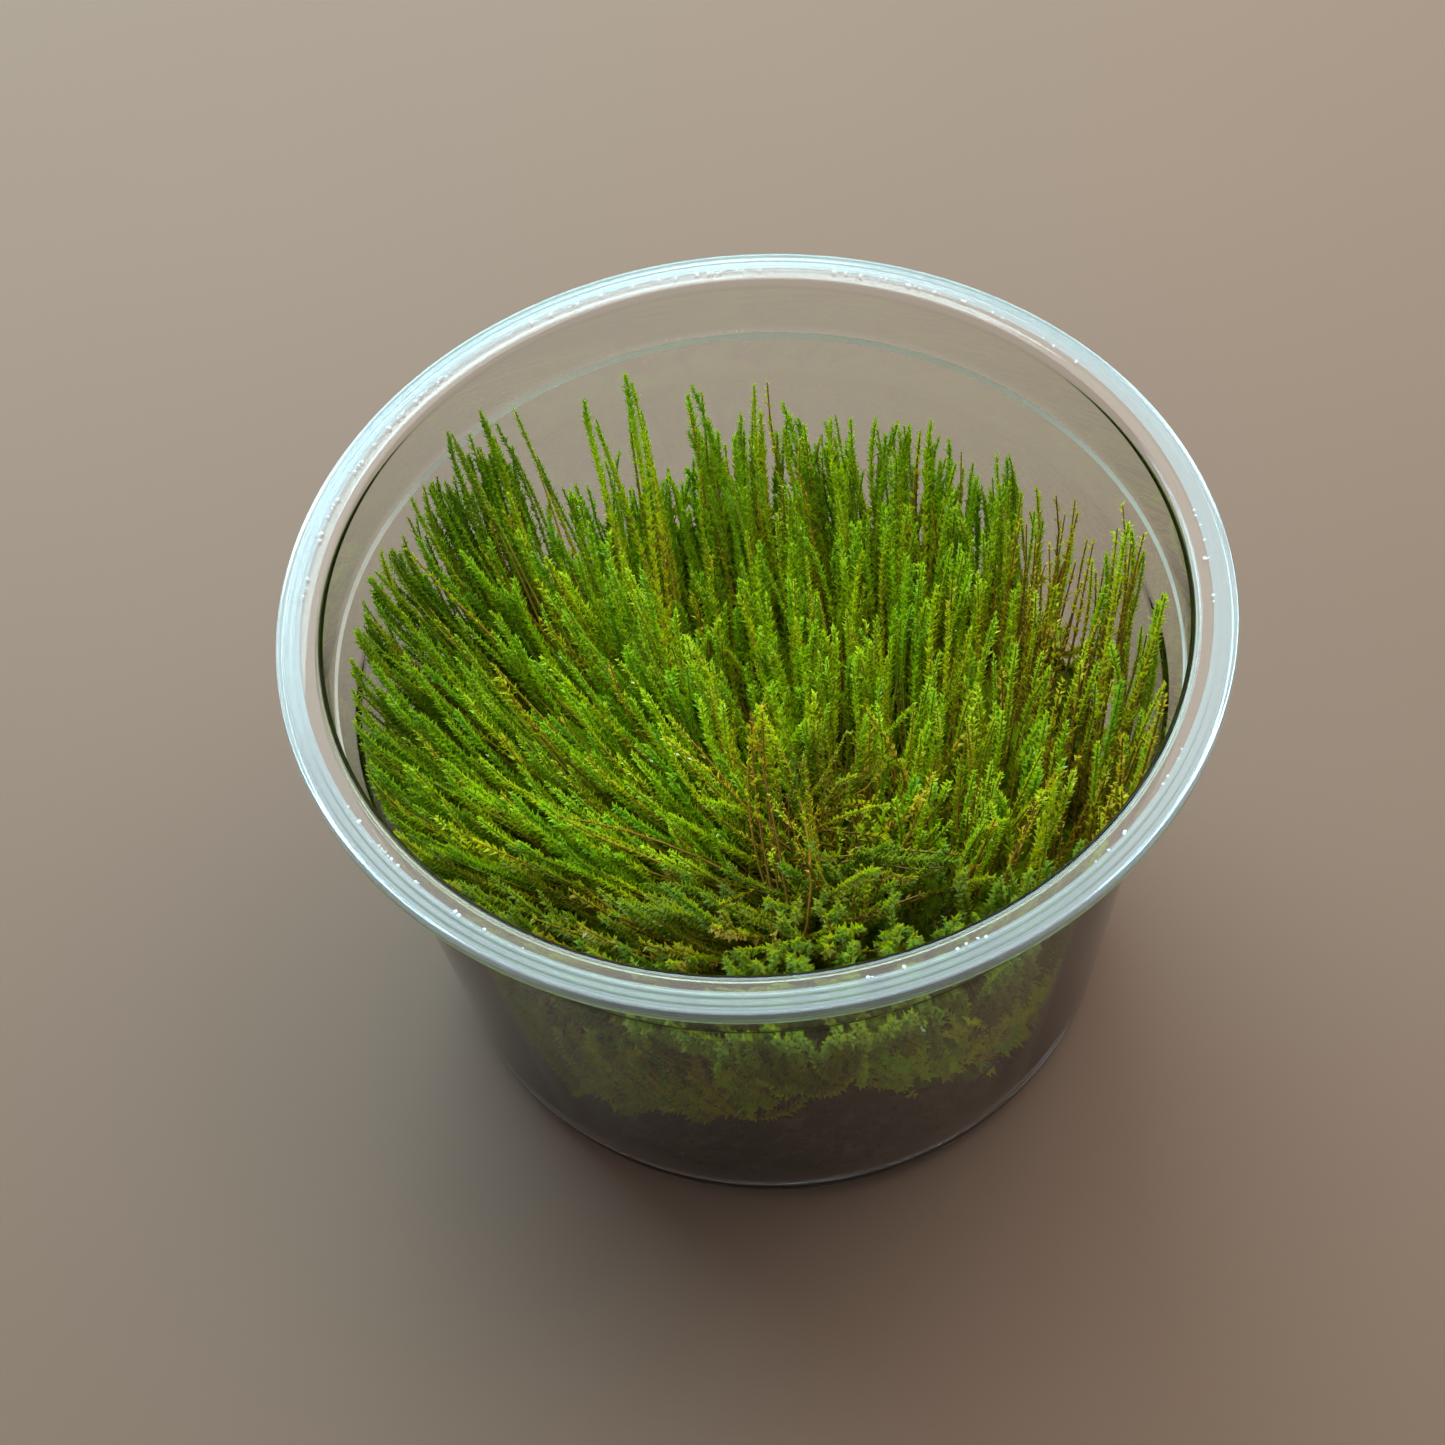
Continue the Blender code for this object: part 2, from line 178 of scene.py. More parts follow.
def attribute(tree, name):
    return addNode(tree, "ShaderNodeAttribute", attribute_name=name).outputs["Fac"]


def dimmed(tree, colour, light):
    return made(tree, "ShaderNodeVectorMath", {0: colour, "Scale": light}, operation="SCALE")


def bump(tree, shader, height, distance, strength):
    inputs = {"Height": height, "Distance": distance, "Strength": strength}
    tree.links.new(addNode(tree, "ShaderNodeBump", inputs).outputs["Normal"], shader.inputs["Normal"])


# the dim tangle under the leafy tips
heartLook = {
    "green": ((0.35, (0.09, 0.175, 0.001)), (0.5, (0.215, 0.39, 0.002)), (0.65, (0.34, 0.43, 0.004))),
    "old": ((0.35, (0.035, 0.058, 0.002)), (0.5, (0.09, 0.15, 0.004)), (0.65, (0.18, 0.25, 0.01))),
    "patches": 650.0, "grain": (1400.0, 0.0003, 0.9),
    "shader": {"Roughness": 0.8, "Specular IOR Level": 0.05},
}


def roughMaterial(name, stops, look):
    # patches of colour over a fine grain
    material, tree, shader = newMaterial(name, look["shader"])
    tree.links.new(ramp(tree, noise(tree, look["patches"], 5.0, 0.7), stops), shader.inputs["Base Color"])
    scale, depth, strength = look["grain"]
    bump(tree, shader, noise(tree, scale, 4.0, 0.7), depth, strength)
    return material


leafLook = {
    "deep": (0.085, 0.3, 0.0005), "green": (0.23, 0.48, 0.0005), "yellow": (0.4, 0.56, 0.001),
    "olive": (0.45, 0.42, 0.002), "brown": (0.42, 0.24, 0.003),
    "leafToLeaf": (-0.05, 0.05), "mottleScale": 130.0, "mottle": (-0.07, 0.07), "light": (0.84, 1.0),
    "glintFrom": (0.96, 0.97), "roughness": (0.75, 0.12),
    "shader": {"Subsurface Weight": 0.5, "Subsurface Radius": (0.7, 1.0, 0.05), "Subsurface Scale": 0.001,
               "Specular IOR Level": 0.35},
}


def leafMaterial(name, look):
    # tone runs from the deep green of young tips through yellow-green to the brown of old leaves
    material, tree, shader = newMaterial(name, look["shader"])
    leafTone = attribute(tree, "leafTone")
    vary = between(tree, leafTone, 0, 1, *look["leafToLeaf"])
    mottle = between(tree, noise(tree, look["mottleScale"], 2.0), 0.3, 0.7, *look["mottle"])
    tone = calc(tree, "ADD", calc(tree, "ADD", attribute(tree, "tone"), vary), mottle)
    colour = ramp(tree, tone, ((0.05, look["deep"]), (0.3, look["green"]), (0.55, look["yellow"]),
                               (0.78, look["olive"]), (1.0, look["brown"])))
    # the light attribute holds painted light and shade; each leaf is also dimmed a little at random
    light = calc(tree, "MULTIPLY", attribute(tree, "light"), between(tree, leafTone, 0, 1, *look["light"]))
    tree.links.new(dimmed(tree, colour, light), shader.inputs["Base Color"])
    shine = between(tree, leafTone, *look["glintFrom"], *look["roughness"])
    tree.links.new(shine, shader.inputs["Roughness"])
    return material


stemLook = {"green": (0.17, 0.28, 0.005), "brown": (0.34, 0.19, 0.006), "old": (0.17, 0.095, 0.003),
            "mottleScale": 160.0, "mottle": (-0.15, 0.15), "shader": {"Roughness": 0.42}}


def stemMaterial(name, look):
    material, tree, shader = newMaterial(name, look["shader"])
    mottle = between(tree, noise(tree, look["mottleScale"]), 0.3, 0.7, *look["mottle"])
    share = calc(tree, "ADD", attribute(tree, "tone"), mottle)
    colour = ramp(tree, share, ((0.2, look["green"]), (0.65, look["brown"]), (1.0, look["old"])))
    tree.links.new(colour, shader.inputs["Base Color"])
    bump(tree, shader, noise(tree, 2600.0, 2.0), 0.00004, 0.5)
    return material


photoCamera = {"lens": 67.27, "place": (0.0, -139.7, 226.12), "aim": (-3.25, -12.85, 50.0), "roll": -5.891}


def buildCamera(values):
    data = bpy.data.cameras.new("photoCamera")
    data.sensor_width = 36.0
    data.lens = values["lens"]
    data.clip_start = 0.01
    data.clip_end = 20.0
    camera = bpy.data.objects.new("photoCamera", data)
    place = Vector(values["place"]) * mm
    turn = (Vector(values["aim"]) * mm - place).to_track_quat("-Z", "Y").to_matrix()
    roll = Matrix.Rotation(math.radians(values["roll"]), 3, "Z")
    camera.matrix_world = Matrix.Translation(place) @ (turn @ roll).to_4x4()
    bpy.context.scene.collection.objects.link(camera)
    bpy.context.scene.camera = camera


studio = {
    "roomColour": (0.95, 0.97, 1.0, 1.0), "roomLight": 0.4, "aim": (0.0, 0.0, 30.0),
    # lights: place, size, power and colour
    "window": ((-229.0, 539.0, 455.0), (700.0, 400.0), 7.5, (0.6, 0.9, 1.0)),
    "overhead": ((380.0, 500.0, 800.0), (1400.0, 1400.0), 13.6, (1.0, 0.94, 0.85)),
    # the floor's painted shade on the next line: where it starts and ends along Y, then its darkest and its
    # full share of colour
    "floorHalf": 1500.0, "floorHeight": -0.02, "cloudScale": 6.0, "paintedShade": (-0.15, 0.1, 0.78, 1.0),
    "floorDark": (0.187, 0.12, 0.082, 1.0), "floorPale": (0.226, 0.146, 0.099, 1.0),
    "shader": {"Roughness": 0.7},
}


def buildLight(name, place, size, power, colour):
    data = bpy.data.lights.new(name, "AREA")
    data.shape = "RECTANGLE"
    data.size, data.size_y = size[0] * mm, size[1] * mm
    data.energy = power
    data.color = colour
    light = bpy.data.objects.new(name, data)
    light.location = Vector(place) * mm
    light.rotation_euler = (Vector(place) - Vector(studio["aim"])).to_track_quat("Z", "Y").to_euler()
    bpy.context.scene.collection.objects.link(light)


def floorMaterial(s):
    # plain and faintly clouded, with painted shade that makes it a little darker towards the viewer
    material, tree, shader = newMaterial("paleFloor", s["shader"])
    cloud = addNode(tree, "ShaderNodeMix", {
        "Factor": noise(tree, s["cloudScale"], 4.0), 6: s["floorDark"], 7: s["floorPale"]}, data_type="RGBA")
    place = addNode(tree, "ShaderNodeSeparateXYZ", {0: objectPlace(tree)})
    # painted shade: the floor's colour is dimmed towards the viewer
    light = between(tree, place.outputs["Y"], *s["paintedShade"])
    tree.links.new(dimmed(tree, cloud.outputs[2], light), shader.inputs["Base Color"])
    return material


def buildStage(s):
    scene = bpy.context.scene
    scene.view_settings.view_transform = "Standard"
    scene.world = bpy.data.worlds.new("softRoom")
    scene.world.use_nodes = True
    background = scene.world.node_tree.nodes["Background"]
    background.inputs["Color"].default_value = s["roomColour"]
    background.inputs["Strength"].default_value = s["roomLight"]
    for name in ("window", "overhead"):
        buildLight(name, *s[name])
    corners = [(x * s["floorHalf"], y * s["floorHalf"], s["floorHeight"])
               for x, y in ((-1, -1), (1, -1), (1, 1), (-1, 1))]
    makeObject("floor", corners, [(0, 1, 2, 3)], material=floorMaterial(s))


buildCamera(photoCamera)
buildStage(studio)
print("camera, light and floor ready")


# the cup is a turned shell with every corner eased
cup = {
    "height": 50.0, "rimRadius": 40.0, "rimEdge": 0.8, "lipBottom": 48.5, "lipThickness": 0.55,
    "lipEase": (0.15, 0.2), "ridges": 3, "ridgeDepth": 0.1, "ridgeDrop": 0.04, "ridgePeak": 0.76,
    "ridgeInset": 0.1, "landInner": 37.0, "landOuter": 37.9, "landDrop": 0.08,
    "neckRadius": 36.1, "neckThickness": 0.5, "neckBevel": 0.3,
    "ledgeFoot": 38.4, "ledgeTop": 43.4, "ledgeLift": 0.5, "ledgeSteps": (0.0, 0.06, 0.88, 1.0),
    "wallTop": (35.35, 42.9), "wallFoot": (30.45, 4.1), "wallThickness": 0.8,
    "innerSteps": (0.03, 0.45, 0.86), "outerSteps": (0.03, 0.97), "innerCorner": 2.6, "outerCorner": 3.3,
    "floorTop": 1.5, "floorUnderside": 0.6, "floorFlat": 14.0, "footRing": 26.4, "footBevel": 0.5,
    "segments": 384, "cornerSteps": 9, "easing": 0.22, "easingSteps": 4, "nearlyStraight": 0.983,
    # finishes: colour, transmission and roughness
    "clear": ((0.965, 0.985, 0.985), 1.0, 0.02),
    # milky: fine ridges do scatter light; its cyan-white colour also paints the window's reflection on them
    "milky": ((0.68, 0.9, 0.99), 0.78, 0.14),
    # pale: a near-opaque white that paints a highlight along the edge of the ledge
    "pale": ((0.98, 0.98, 0.97), 0.2, 0.3),
    "milkyDepth": 0.4, "paintedHighlightBand": (-0.5, 0.15),
}


def wallInside(height):
    # inside radius of the tapered wall
    (footRadius, footHeight), (topRadius, topHeight) = cup["wallFoot"], cup["wallTop"]
    share = (np.minimum(height, topHeight) - footHeight) / (topHeight - footHeight)
    bend = cup["innerCorner"]
    corner = footRadius - bend + np.sqrt(bend ** 2 - np.clip(footHeight - height, 0.0, bend) ** 2)
    return np.where(np.asarray(height) >= footHeight, footRadius + share * (topRadius - footRadius), corner)


def arc(centreRadius, centreHeight, radius, start, end):
    steps = cup["cornerSteps"]
    angles = [math.radians(lerp(start, end, i / steps)) for i in range(steps + 1)]
    return [(centreRadius + radius * math.cos(a), centreHeight + radius * math.sin(a)) for a in angles]


def along(start, end, shares):
    return [(lerp(start[0], end[0], share), lerp(start[1], end[1], share)) for share in shares]


def ledgeBend(c, outwards, lift):
    # the wall widens into the neck over a soft ledge
    foot = float(wallInside(c["ledgeFoot"])) + outwards
    neck = c["neckRadius"] + outwards
    low, high = c["ledgeFoot"] + lift, c["ledgeTop"] + lift
    return along((foot, low), (neck, high), c["ledgeSteps"]) + [(neck, high + 0.5)]


def cupInside(c):
    footRadius, footHeight = c["wallFoot"]
    profile = [(0.0, c["floorTop"]), (c["floorFlat"], c["floorTop"])]
    profile += arc(footRadius - c["innerCorner"], footHeight, c["innerCorner"], -90, 0)
    profile += along(c["wallFoot"], c["wallTop"], c["innerSteps"])
    profile += ledgeBend(c, 0.0, 0.0)
    corner = c["landInner"] - c["neckRadius"]
    return profile + arc(c["landInner"], c["height"] - corner - c["landDrop"], corner, 180, 90)


def cupRidges(c):
    first = c["landOuter"]
    pitch = (c["rimRadius"] - c["ridgeInset"] - first) / c["ridges"]
    profile = [(first, c["height"] - c["landDrop"])]
    for ridge in range(c["ridges"]):
        crest = c["height"] - c["ridgeDrop"] * ridge
        profile.append((first + pitch * (ridge + c["ridgePeak"]), crest))
        profile.append((first + pitch * (ridge + 1.0), crest - c["ridgeDepth"]))
    return profile


def cupOutside(c):
    rim, top, low = c["rimRadius"], c["height"], c["lipBottom"]
    inwards, upwards = c["lipEase"]
    lipInside, underside = rim - c["lipThickness"], top - c["lipThickness"]
    neck = c["neckRadius"] + c["neckThickness"]
    profile = [(rim, top - c["rimEdge"]), (rim, low + upwards), (rim - inwards, low)]
    profile += [(lipInside + inwards, low), (lipInside, low + upwards), (lipInside, underside)]
    profile += [(neck + c["neckBevel"], underside), (neck, underside - c["neckBevel"])]
    profile += ledgeBend(c, c["neckThickness"], c["ledgeLift"])[::-1]
    foot = c["wallFoot"][0] + c["wallThickness"] + 0.05
    profile += along(profile[-1], (foot, c["outerCorner"]), c["outerSteps"])
    profile += arc(foot - c["outerCorner"], c["outerCorner"], c["outerCorner"], 0, -90)
    profile += [(c["footRing"], 0.0), (c["footRing"] - c["footBevel"], c["floorUnderside"])]
    return profile + [(c["floorFlat"] - 1.0, c["floorUnderside"]), (0.0, c["floorUnderside"])]


def easeCorners(profile, c):
    # each real corner becomes a short curve
    eased = [profile[0]]
    for before, corner, after in zip(profile, profile[1:], profile[2:]):
        before, corner, after = (np.array(p) for p in (before, corner, after))
        inLength, outLength = np.linalg.norm(before - corner), np.linalg.norm(after - corner)
        if np.dot(corner - before, after - corner) > c["nearlyStraight"] * inLength * outLength:
            eased.append(tuple(corner))
            continue
        start = corner + (before - corner) / inLength * min(c["easing"], 0.42 * inLength)
        end = corner + (after - corner) / outLength * min(c["easing"], 0.42 * outLength)
        for i in range(c["easingSteps"] + 1):
            s = i / c["easingSteps"]
            eased.append(tuple((1 - s) ** 2 * start + 2 * s * (1 - s) * corner + s * s * end))
    return eased + [profile[-1]]


def plasticMaterial(name, colour, transmission, roughness):
    values = {"Base Color": (*colour, 1.0), "Transmission Weight": transmission, "IOR": 1.45}
    return newMaterial(name, {**values, "Roughness": roughness})[0]


def cupFinishes(c, mesh):
    # 1 for the fine ridges, which scatter light and look milky, their cyan-white partly a painted reflection
    # of the window; 2 for the edge of the ledge, a near-opaque pale plastic that paints a highlight there
    low, high = (c["ledgeTop"] + offset for offset in c["paintedHighlightBand"])
    chosen = []
    for face in mesh.polygons:
        radius, height = math.hypot(*face.center[:2]) / mm, face.center[2] / mm
        ridge = radius > c["landOuter"] + 0.02 and height > c["height"] - c["milkyDepth"]
        ridge = ridge or radius > c["rimRadius"] - c["ridgeInset"]
        # painted highlight: the ledge's edge takes the pale finish
        ledge = low < height < high and radius < c["neckRadius"] + 0.1
        chosen.append(1 if ridge else 2 * int(ledge))
    return chosen


def buildCup(c):
    outline = easeCorners(cupInside(c) + cupRidges(c) + cupOutside(c), c)[::-1]
    rings = [(np.full(c["segments"], radius), height) for radius, height in outline[1:-1]]
    points, faces = stackRings(rings, outline[0][1], outline[-1][1])
    piece = makeObject("clearCup", points, faces, smooth=True)
    for finish in ("clear", "milky", "pale"):
        piece.data.materials.append(plasticMaterial(finish + "Plastic", *c[finish]))
    piece.data.polygons.foreach_set("material_index", cupFinishes(c, piece.data))
    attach(piece, "root")
    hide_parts("cup")


flecks = {
    "clusters": 30, "handful": 4, "scatter": 0.05, "wander": 0.08, "size": (0.09, 0.22), "thickness": 0.07,
    # the flecks' pale cyan-white colour is a painted glint
    "seed": 8, "shader": {"Base Color": (0.8, 0.93, 0.97, 1.0), "Roughness": 0.35},
}


def buildFlecks(f):
    # small rough spots that moulding left along the ridges' inner edge, with a pale cyan-white colour that
    # paints the glints they catch
    rng = np.random.default_rng(f["seed"])
    angles = np.repeat(rng.uniform(0.0, 2 * np.pi, f["clusters"]), f["handful"])
    angles += rng.normal(0.0, f["scatter"], len(angles))
    height = cup["height"] - cup["landDrop"]
    points, faces = [], []
    for angle in angles:
        radius = cup["landOuter"] + rng.normal(0.0, f["wander"])
        x, y = radius * np.cos(angle), radius * np.sin(angle)
        long, wide = rng.uniform(*f["size"], 2)
        turn = rng.uniform(0.0, np.pi)
        first = len(points)
        for step, reach in enumerate((long, wide, long, wide)):
            way = turn + step * np.pi / 2
            points.append((x + reach * np.cos(way), y + reach * np.sin(way), height))
        points += [(x, y, height + f["thickness"]), (x, y, height - f["thickness"])]
        for step in range(4):
            here, after = first + step, first + (step + 1) % 4
            faces += [(here, after, first + 4), (after, here, first + 5)]
    piece = makeObject("rimFlecks", points, faces, material=newMaterial("roughPlastic", f["shader"])[0])
    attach(piece, "root")
    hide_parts("cup")


buildCup(cup)
buildFlecks(flecks)
print("cup turned")


soil = {
    "clearance": 0.35, "low": 7.5, "rise": 12.5, "peak": (0.0, -24.0), "spread": 17.0, "matTop": 24.0,
    "reach": 23.5, "frontReach": 8.0, "frontWay": -80, "shoulder": 5.5,
    "sectors": 144, "rings": 26, "crumb": 0.9, "grainDensity": 900000.0, "grainSize": (0.25, 0.75), "seed": 4,
    "stops": ((0.34, (0.005, 0.005, 0.003)), (0.52, (0.022, 0.019, 0.01)), (0.68, (0.105, 0.085, 0.045))),
    "patches": 420.0, "grain": (1500.0, 0.0002, 0.8), "shader": {"Roughness": 0.72},
}


def soilHeight(x, y):
    away = np.hypot(x - soil["peak"][0], y - soil["peak"][1]) / soil["spread"]
    lumps = 0.7 * np.sin(0.55 * x + 1.3) * np.cos(0.48 * y - 0.4) + 0.4 * np.sin(1.1 * x - 0.9 * y)
    return soil["low"] + soil["rise"] / (1.0 + away ** 4) + lumps


def soilAround(radius, angle):
    return soilHeight(radius * np.cos(angle), radius * np.sin(angle))


def soilEdge(angle, height):
    # the lump reaches the wall at the front only
    front = np.maximum(0.0, np.cos(angle - math.radians(soil["frontWay"])))
    reach = soil["reach"] + soil["frontReach"] * front ** 1.5
    reach = reach + 0.8 * np.sin(5 * angle) + 0.5 * np.sin(11 * angle + 2)
    return np.minimum(reach, wallInside(height) - soil["clearance"] - 0.5)


def soilRim(angle):
    reach = soilEdge(angle, soil["low"] + soil["rise"])
    return reach, soilAround(reach, angle)


def grainTree():
    # crumbs strewn over a surface, joined with it
    tree, source, result = newTree(
        "crumbs", Object="Crumb", Float="Density, Smallest, Largest", Int="Seed", Material="Finish")
    given = source.outputs
    strewn = made(tree, "GeometryNodeDistributePointsOnFaces", {
        "Mesh": given["Geometry"], "Density": given["Density"], "Seed": given["Seed"]})
    crumb = addNode(tree, "GeometryNodeObjectInfo", {"Object": given["Crumb"]})
    turn = made(tree, "FunctionNodeRandomValue", {0: (0.0, 0.0, 0.0), 1: (6.28, 6.28, 6.28)},
                data_type="FLOAT_VECTOR")
    crumbs = made(tree, "GeometryNodeInstanceOnPoints", {
        "Points": strewn, "Instance": crumb.outputs["Geometry"], "Rotation": turn,
        "Scale": chance(tree, given["Smallest"], given["Largest"], given["Seed"])})
    real = made(tree, "GeometryNodeRealizeInstances", {"Geometry": crumbs})
    both = addNode(tree, "GeometryNodeJoinGeometry")
    for part in (given["Geometry"], real):
        tree.links.new(part, both.inputs[0])
    finish = made(tree, "GeometryNodeSetMaterial", {"Geometry": both.outputs[0], "Material": given["Finish"]})
    tree.links.new(finish, result.inputs[0])
    return tree


def crumbShape():
    # one angular crumb, a millimetre across
    points = []
    for index, (x, y, z) in enumerate(((1, 0, 0), (-1, 0, 0), (0, 1, 0), (0, -1, 0), (0, 0, 1), (0, 0, -1))):
        size = 0.38 + 0.2 * scatter(index, 1.0, 9)
        points.append((x * size, y * size * 0.8, z * size * 0.65))
    faces = [(0, 2, 4), (2, 1, 4), (1, 3, 4), (3, 0, 4), (2, 0, 5), (1, 2, 5), (3, 1, 5), (0, 3, 5)]
    return makeObject("crumbShape", points, faces)


def keepInside(piece, floor=None):
    # presses what would pass through the wall flat against it
    count = len(piece.data.vertices)
    place = np.empty(count * 3, np.float32)
    piece.data.vertices.foreach_get("co", place)
    place = place.reshape(-1, 3).astype(float)
    radius = np.hypot(place[:, 0], place[:, 1])
    height = place[:, 2] / mm
    limit = np.where(height > cup["ledgeTop"], cup["neckRadius"], wallInside(height)) - 0.12
    shrink = np.minimum(1.0, limit * mm / np.maximum(radius, 1e-9))
    place[:, :2] *= shrink[:, None]
    if floor is not None:
        place[:, 2] = np.maximum(place[:, 2], floor * mm)
    piece.data.vertices.foreach_set("co", place.astype(np.float32).ravel())
    piece.data.update()


def buildSoil(s):
    angle = fullCircle(s["sectors"])
    low = cup["floorTop"] + s["clearance"]
    rings = [(share * (soilEdge(angle, low) - 1.2), low) for share in (0.35, 0.7, 1.0)]
    reach, rim = soilRim(angle)
    for height in np.linspace(low + 0.8, s["shoulder"], 5):
        rough = s["crumb"] * (0.5 * scatter(np.round(3 * angle), height, 5) + 0.5 * scatter(angle, height, 5))
        rings.append((soilEdge(angle, height) - rough * 0.6, height))
    side = np.minimum(reach, soilEdge(angle, s["shoulder"]) + 0.3)
    for share in np.linspace(0.0, 1.0, 7)[1:-1]:
        rings.append((side - 0.4 * scatter(angle, share, 8), lerp(s["shoulder"], rim, share)))
    for share in np.linspace(1.0, 0.0, s["rings"], endpoint=False):
        radius = share * reach
        rings.append((radius, soilAround(radius, angle) - 0.3 * scatter(angle, share, 5)))
    points, faces = stackRings(rings, low, float(soilHeight(0.0, 0.0)))
    material = roughMaterial("dampSoil", s["stops"], s)
    piece = makeObject("soilLump", points, faces, material=material)
    crumb = crumbShape()
    grownMesh(piece, grainTree(), {
        "Crumb": crumb, "Density": s["grainDensity"], "Smallest": s["grainSize"][0],
        "Largest": s["grainSize"][1], "Seed": s["seed"], "Finish": material})
    bpy.data.objects.remove(crumb)
    keepInside(piece, low)
    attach(piece, "root")
    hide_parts("substrate")
    print("soil laid,", len(piece.data.polygons), "faces")


buildSoil(soil)


# the moss: shoots follow growth lines that rise and fan out from a parting near the front
moss = {
    "parting": (4.0, -12.0), "pitch": 2.9, "latticeHeight": 33.0, "growthSpan": 20.0, "sway": 1.1,
    "looseness": 0.8, "crowding": 0.9, "outermost": 0.975, "partingTip": 28.0, "tipLongest": 0.8,
    "tipSpread": 0.3, "tuftFoot": 24.35, "foot": 22.6, "points": 16, "bend": 1.5, "wallGap": 0.75,
    "fillPitch": 1.8, "fillDrop": 0.5, "companions": 6, "hollow": 0.36, "hollowTips": 0.3,
    "paintedHollowShade": 0.68, "clump": 4.8, "clumping": 0.38, "leafyLength": 11.5, "agedLength": 18.0,
    "upturn": 1.3, "seed": 11,
    "looseEdge": (0.68, 20.0, 36.0),  # share of the way out, direction and half width
    "coreDepth": 10.0, "coreReach": 0.93, "coreRough": 2.2, "coreGrid": (40, 30),
}
# height of the tips along the wall, by direction from the cup's middle
skylineStops = (
    (-180, 43.5), (-150, 41), (-125, 38), (-90, 34.5), (-60, 34.5), (-25, 38), (5, 40.5), (24, 38.5),
    (50, 36), (75, 36.5), (94, 35.5), (101, 31), (119, 30.5), (125, 43), (138, 44.5), (155, 44),
    (180, 43.5),
)
# single shoots that stand out on the skyline: x, y and height of the tip
tallShoots = (
    (-25.4, 22.8, 47.5), (-23.5, 24.6, 45.4), (-21, 26.8, 47), (-13.5, 30.7, 42), (-8.7, 32.4, 43),
    (-4.2, 33.2, 39.8), (-2.4, 31.5, 38.6), (2.8, 33.4, 39.4), (16.4, 29.2, 37.6), (25.4, 21.9, 38.4),
    (30.1, 14.7, 41.5), (32.7, 9.6, 46.5), (33.6, 5.2, 46.5), (35, -1, 45.5), (34.6, -7.5, 43.5),
)
# bare gaps: direction from the parting, where each starts and ends, half its width
partings = ((58, 7, 22, 1.3), (-14, 9, 18, 1.3), (188, 13, 21, 1.1), (121, 31, 60, 1.5))
# hollows round the parting, where tips stand lower and painted shade darkens the shoots: place and radius
hollows = ((5.5, -5.0, 3.6), (-4.0, -15.5, 2.4), (13.0, -19.0, 2.6), (0.8, -7.5, 1.8))
# longer shoots round the parting, strewn or in handfuls
strays = {
    "count": 60, "reach": 7.0, "way": (-40.0, 230.0), "length": (9.0, 18.0), "climb": (25.0, 68.0),
    "bend": 4.0, "handful": 5, "scatter": 0.55,
}
# the handfuls cross each other over the hollows: foot and tip of each
crossings = (
    ((0.8, -21, 25), (-0.4, -1.5, 35)), ((0.5, -11, 27), (-8, -3.5, 36)),
    ((6.6, -12.7, 29), (15.8, -15.8, 31)), ((18.4, -20, 26), (24.5, -12, 38)),
    ((4.5, -15.5, 26), (3.1, -6.5, 34)), ((6.3, -5.3, 27), (11, -4.7, 31)),
    ((-3.6, -13.8, 27), (-17.9, -11.5, 36)), ((-7, -20.4, 26), (-18, -13.6, 33)),
    ((14.8, -17, 26), (19.4, -13.9, 34)), ((6.7, -20, 25), (8.1, -16, 31)),
)
# tone is how yellow a bank is at the wall, inner how much more so inside, light the painted light and shade
# of the bank, atWall the share of that painted light kept at the wall
bankValues = "node slot from to tone inner light atWall vigour tipSpread coreEdge".split()
banks = {
    "mossRight": ("tuft_right", "moss_right", -14, 58, 0.4, 0.08, 1.3, 1.0, 1.0, 38, 0.82),
    "mossBackRight": ("tuft_back", "moss_back", 58, 88, 0.27, 0.12, 1.42, 1.12, 1.0, 38, 0.93),
    "mossBackLeft": ("tuft_back", "moss_back", 88, 121, 0.25, 0.12, 1.42, 1.12, 1.0, 38, 0.93),
    "mossLeftBack": ("tuft_left", "moss_left", 121, 150, 0.08, 0.32, 1.45, 0.66, 1.0, 38, 0.9),
    "mossLeftFront": ("tuft_left", "moss_left", 150, 188, 0.12, 0.32, 1.45, 0.66, 1.0, 38, 0.9),
    "mossFront": ("tuft_front", "moss_front", 188, 346, 0.29, 0.15, 0.5, 0.8, 1.2, 50, 0.93),
}
# lean along X and Y for each millimetre of rise, by direction from the parting
leans = (
    (-14, 0.25, 0.3), (20, 0.4, 0.7), (45, 0.38, 1.1), (65, 0.15, 1.4), (90, -0.1, 1.5), (112, -0.3, 1.4),
    (122, -0.4, 1.2), (135, -0.8, 1), (150, -1.1, 0.8), (172, -1.2, 0.45), (190, -1.35, 0.15),
    (212, -1.2, -0.05), (235, -0.7, -0.25), (270, -0.1, -0.35), (310, 0.15, -0.2), (346, 0.25, 0.3),
)
leaf = {
    "length": 0.72, "width": 0.4, "keel": 0.1, "widest": 0.36, "curl": 0.14, "turn": 137.508,
    "spacing": 0.108, "spread": 36.0, "stemRadius": 0.15, "stemStep": 3.2,
}


def fromParting(reach, angle):
    return moss["parting"][0] + reach * np.cos(angle), moss["parting"][1] + reach * np.sin(angle)


def wallDistance(angle, height):
    x, y = moss["parting"]
    towards = x * np.cos(angle) + y * np.sin(angle)
    radius = wallInside(height) - 0.4
    return np.sqrt(towards ** 2 - x ** 2 - y ** 2 + radius ** 2) - towards


def shareAndAngle(x, y):
    # share of the way from the parting to the wall, eased near the wall, and direction
    x, y = x - moss["parting"][0], y - moss["parting"][1]
    angle = np.arctan2(y, x)
    share = np.hypot(x, y) / wallDistance(angle, moss["latticeHeight"])
    room = 1.0 - moss["crowding"]
    crowded = 1.0 - room * np.exp((moss["crowding"] - share) / room)
    return np.where(share > moss["crowding"], crowded, share), angle


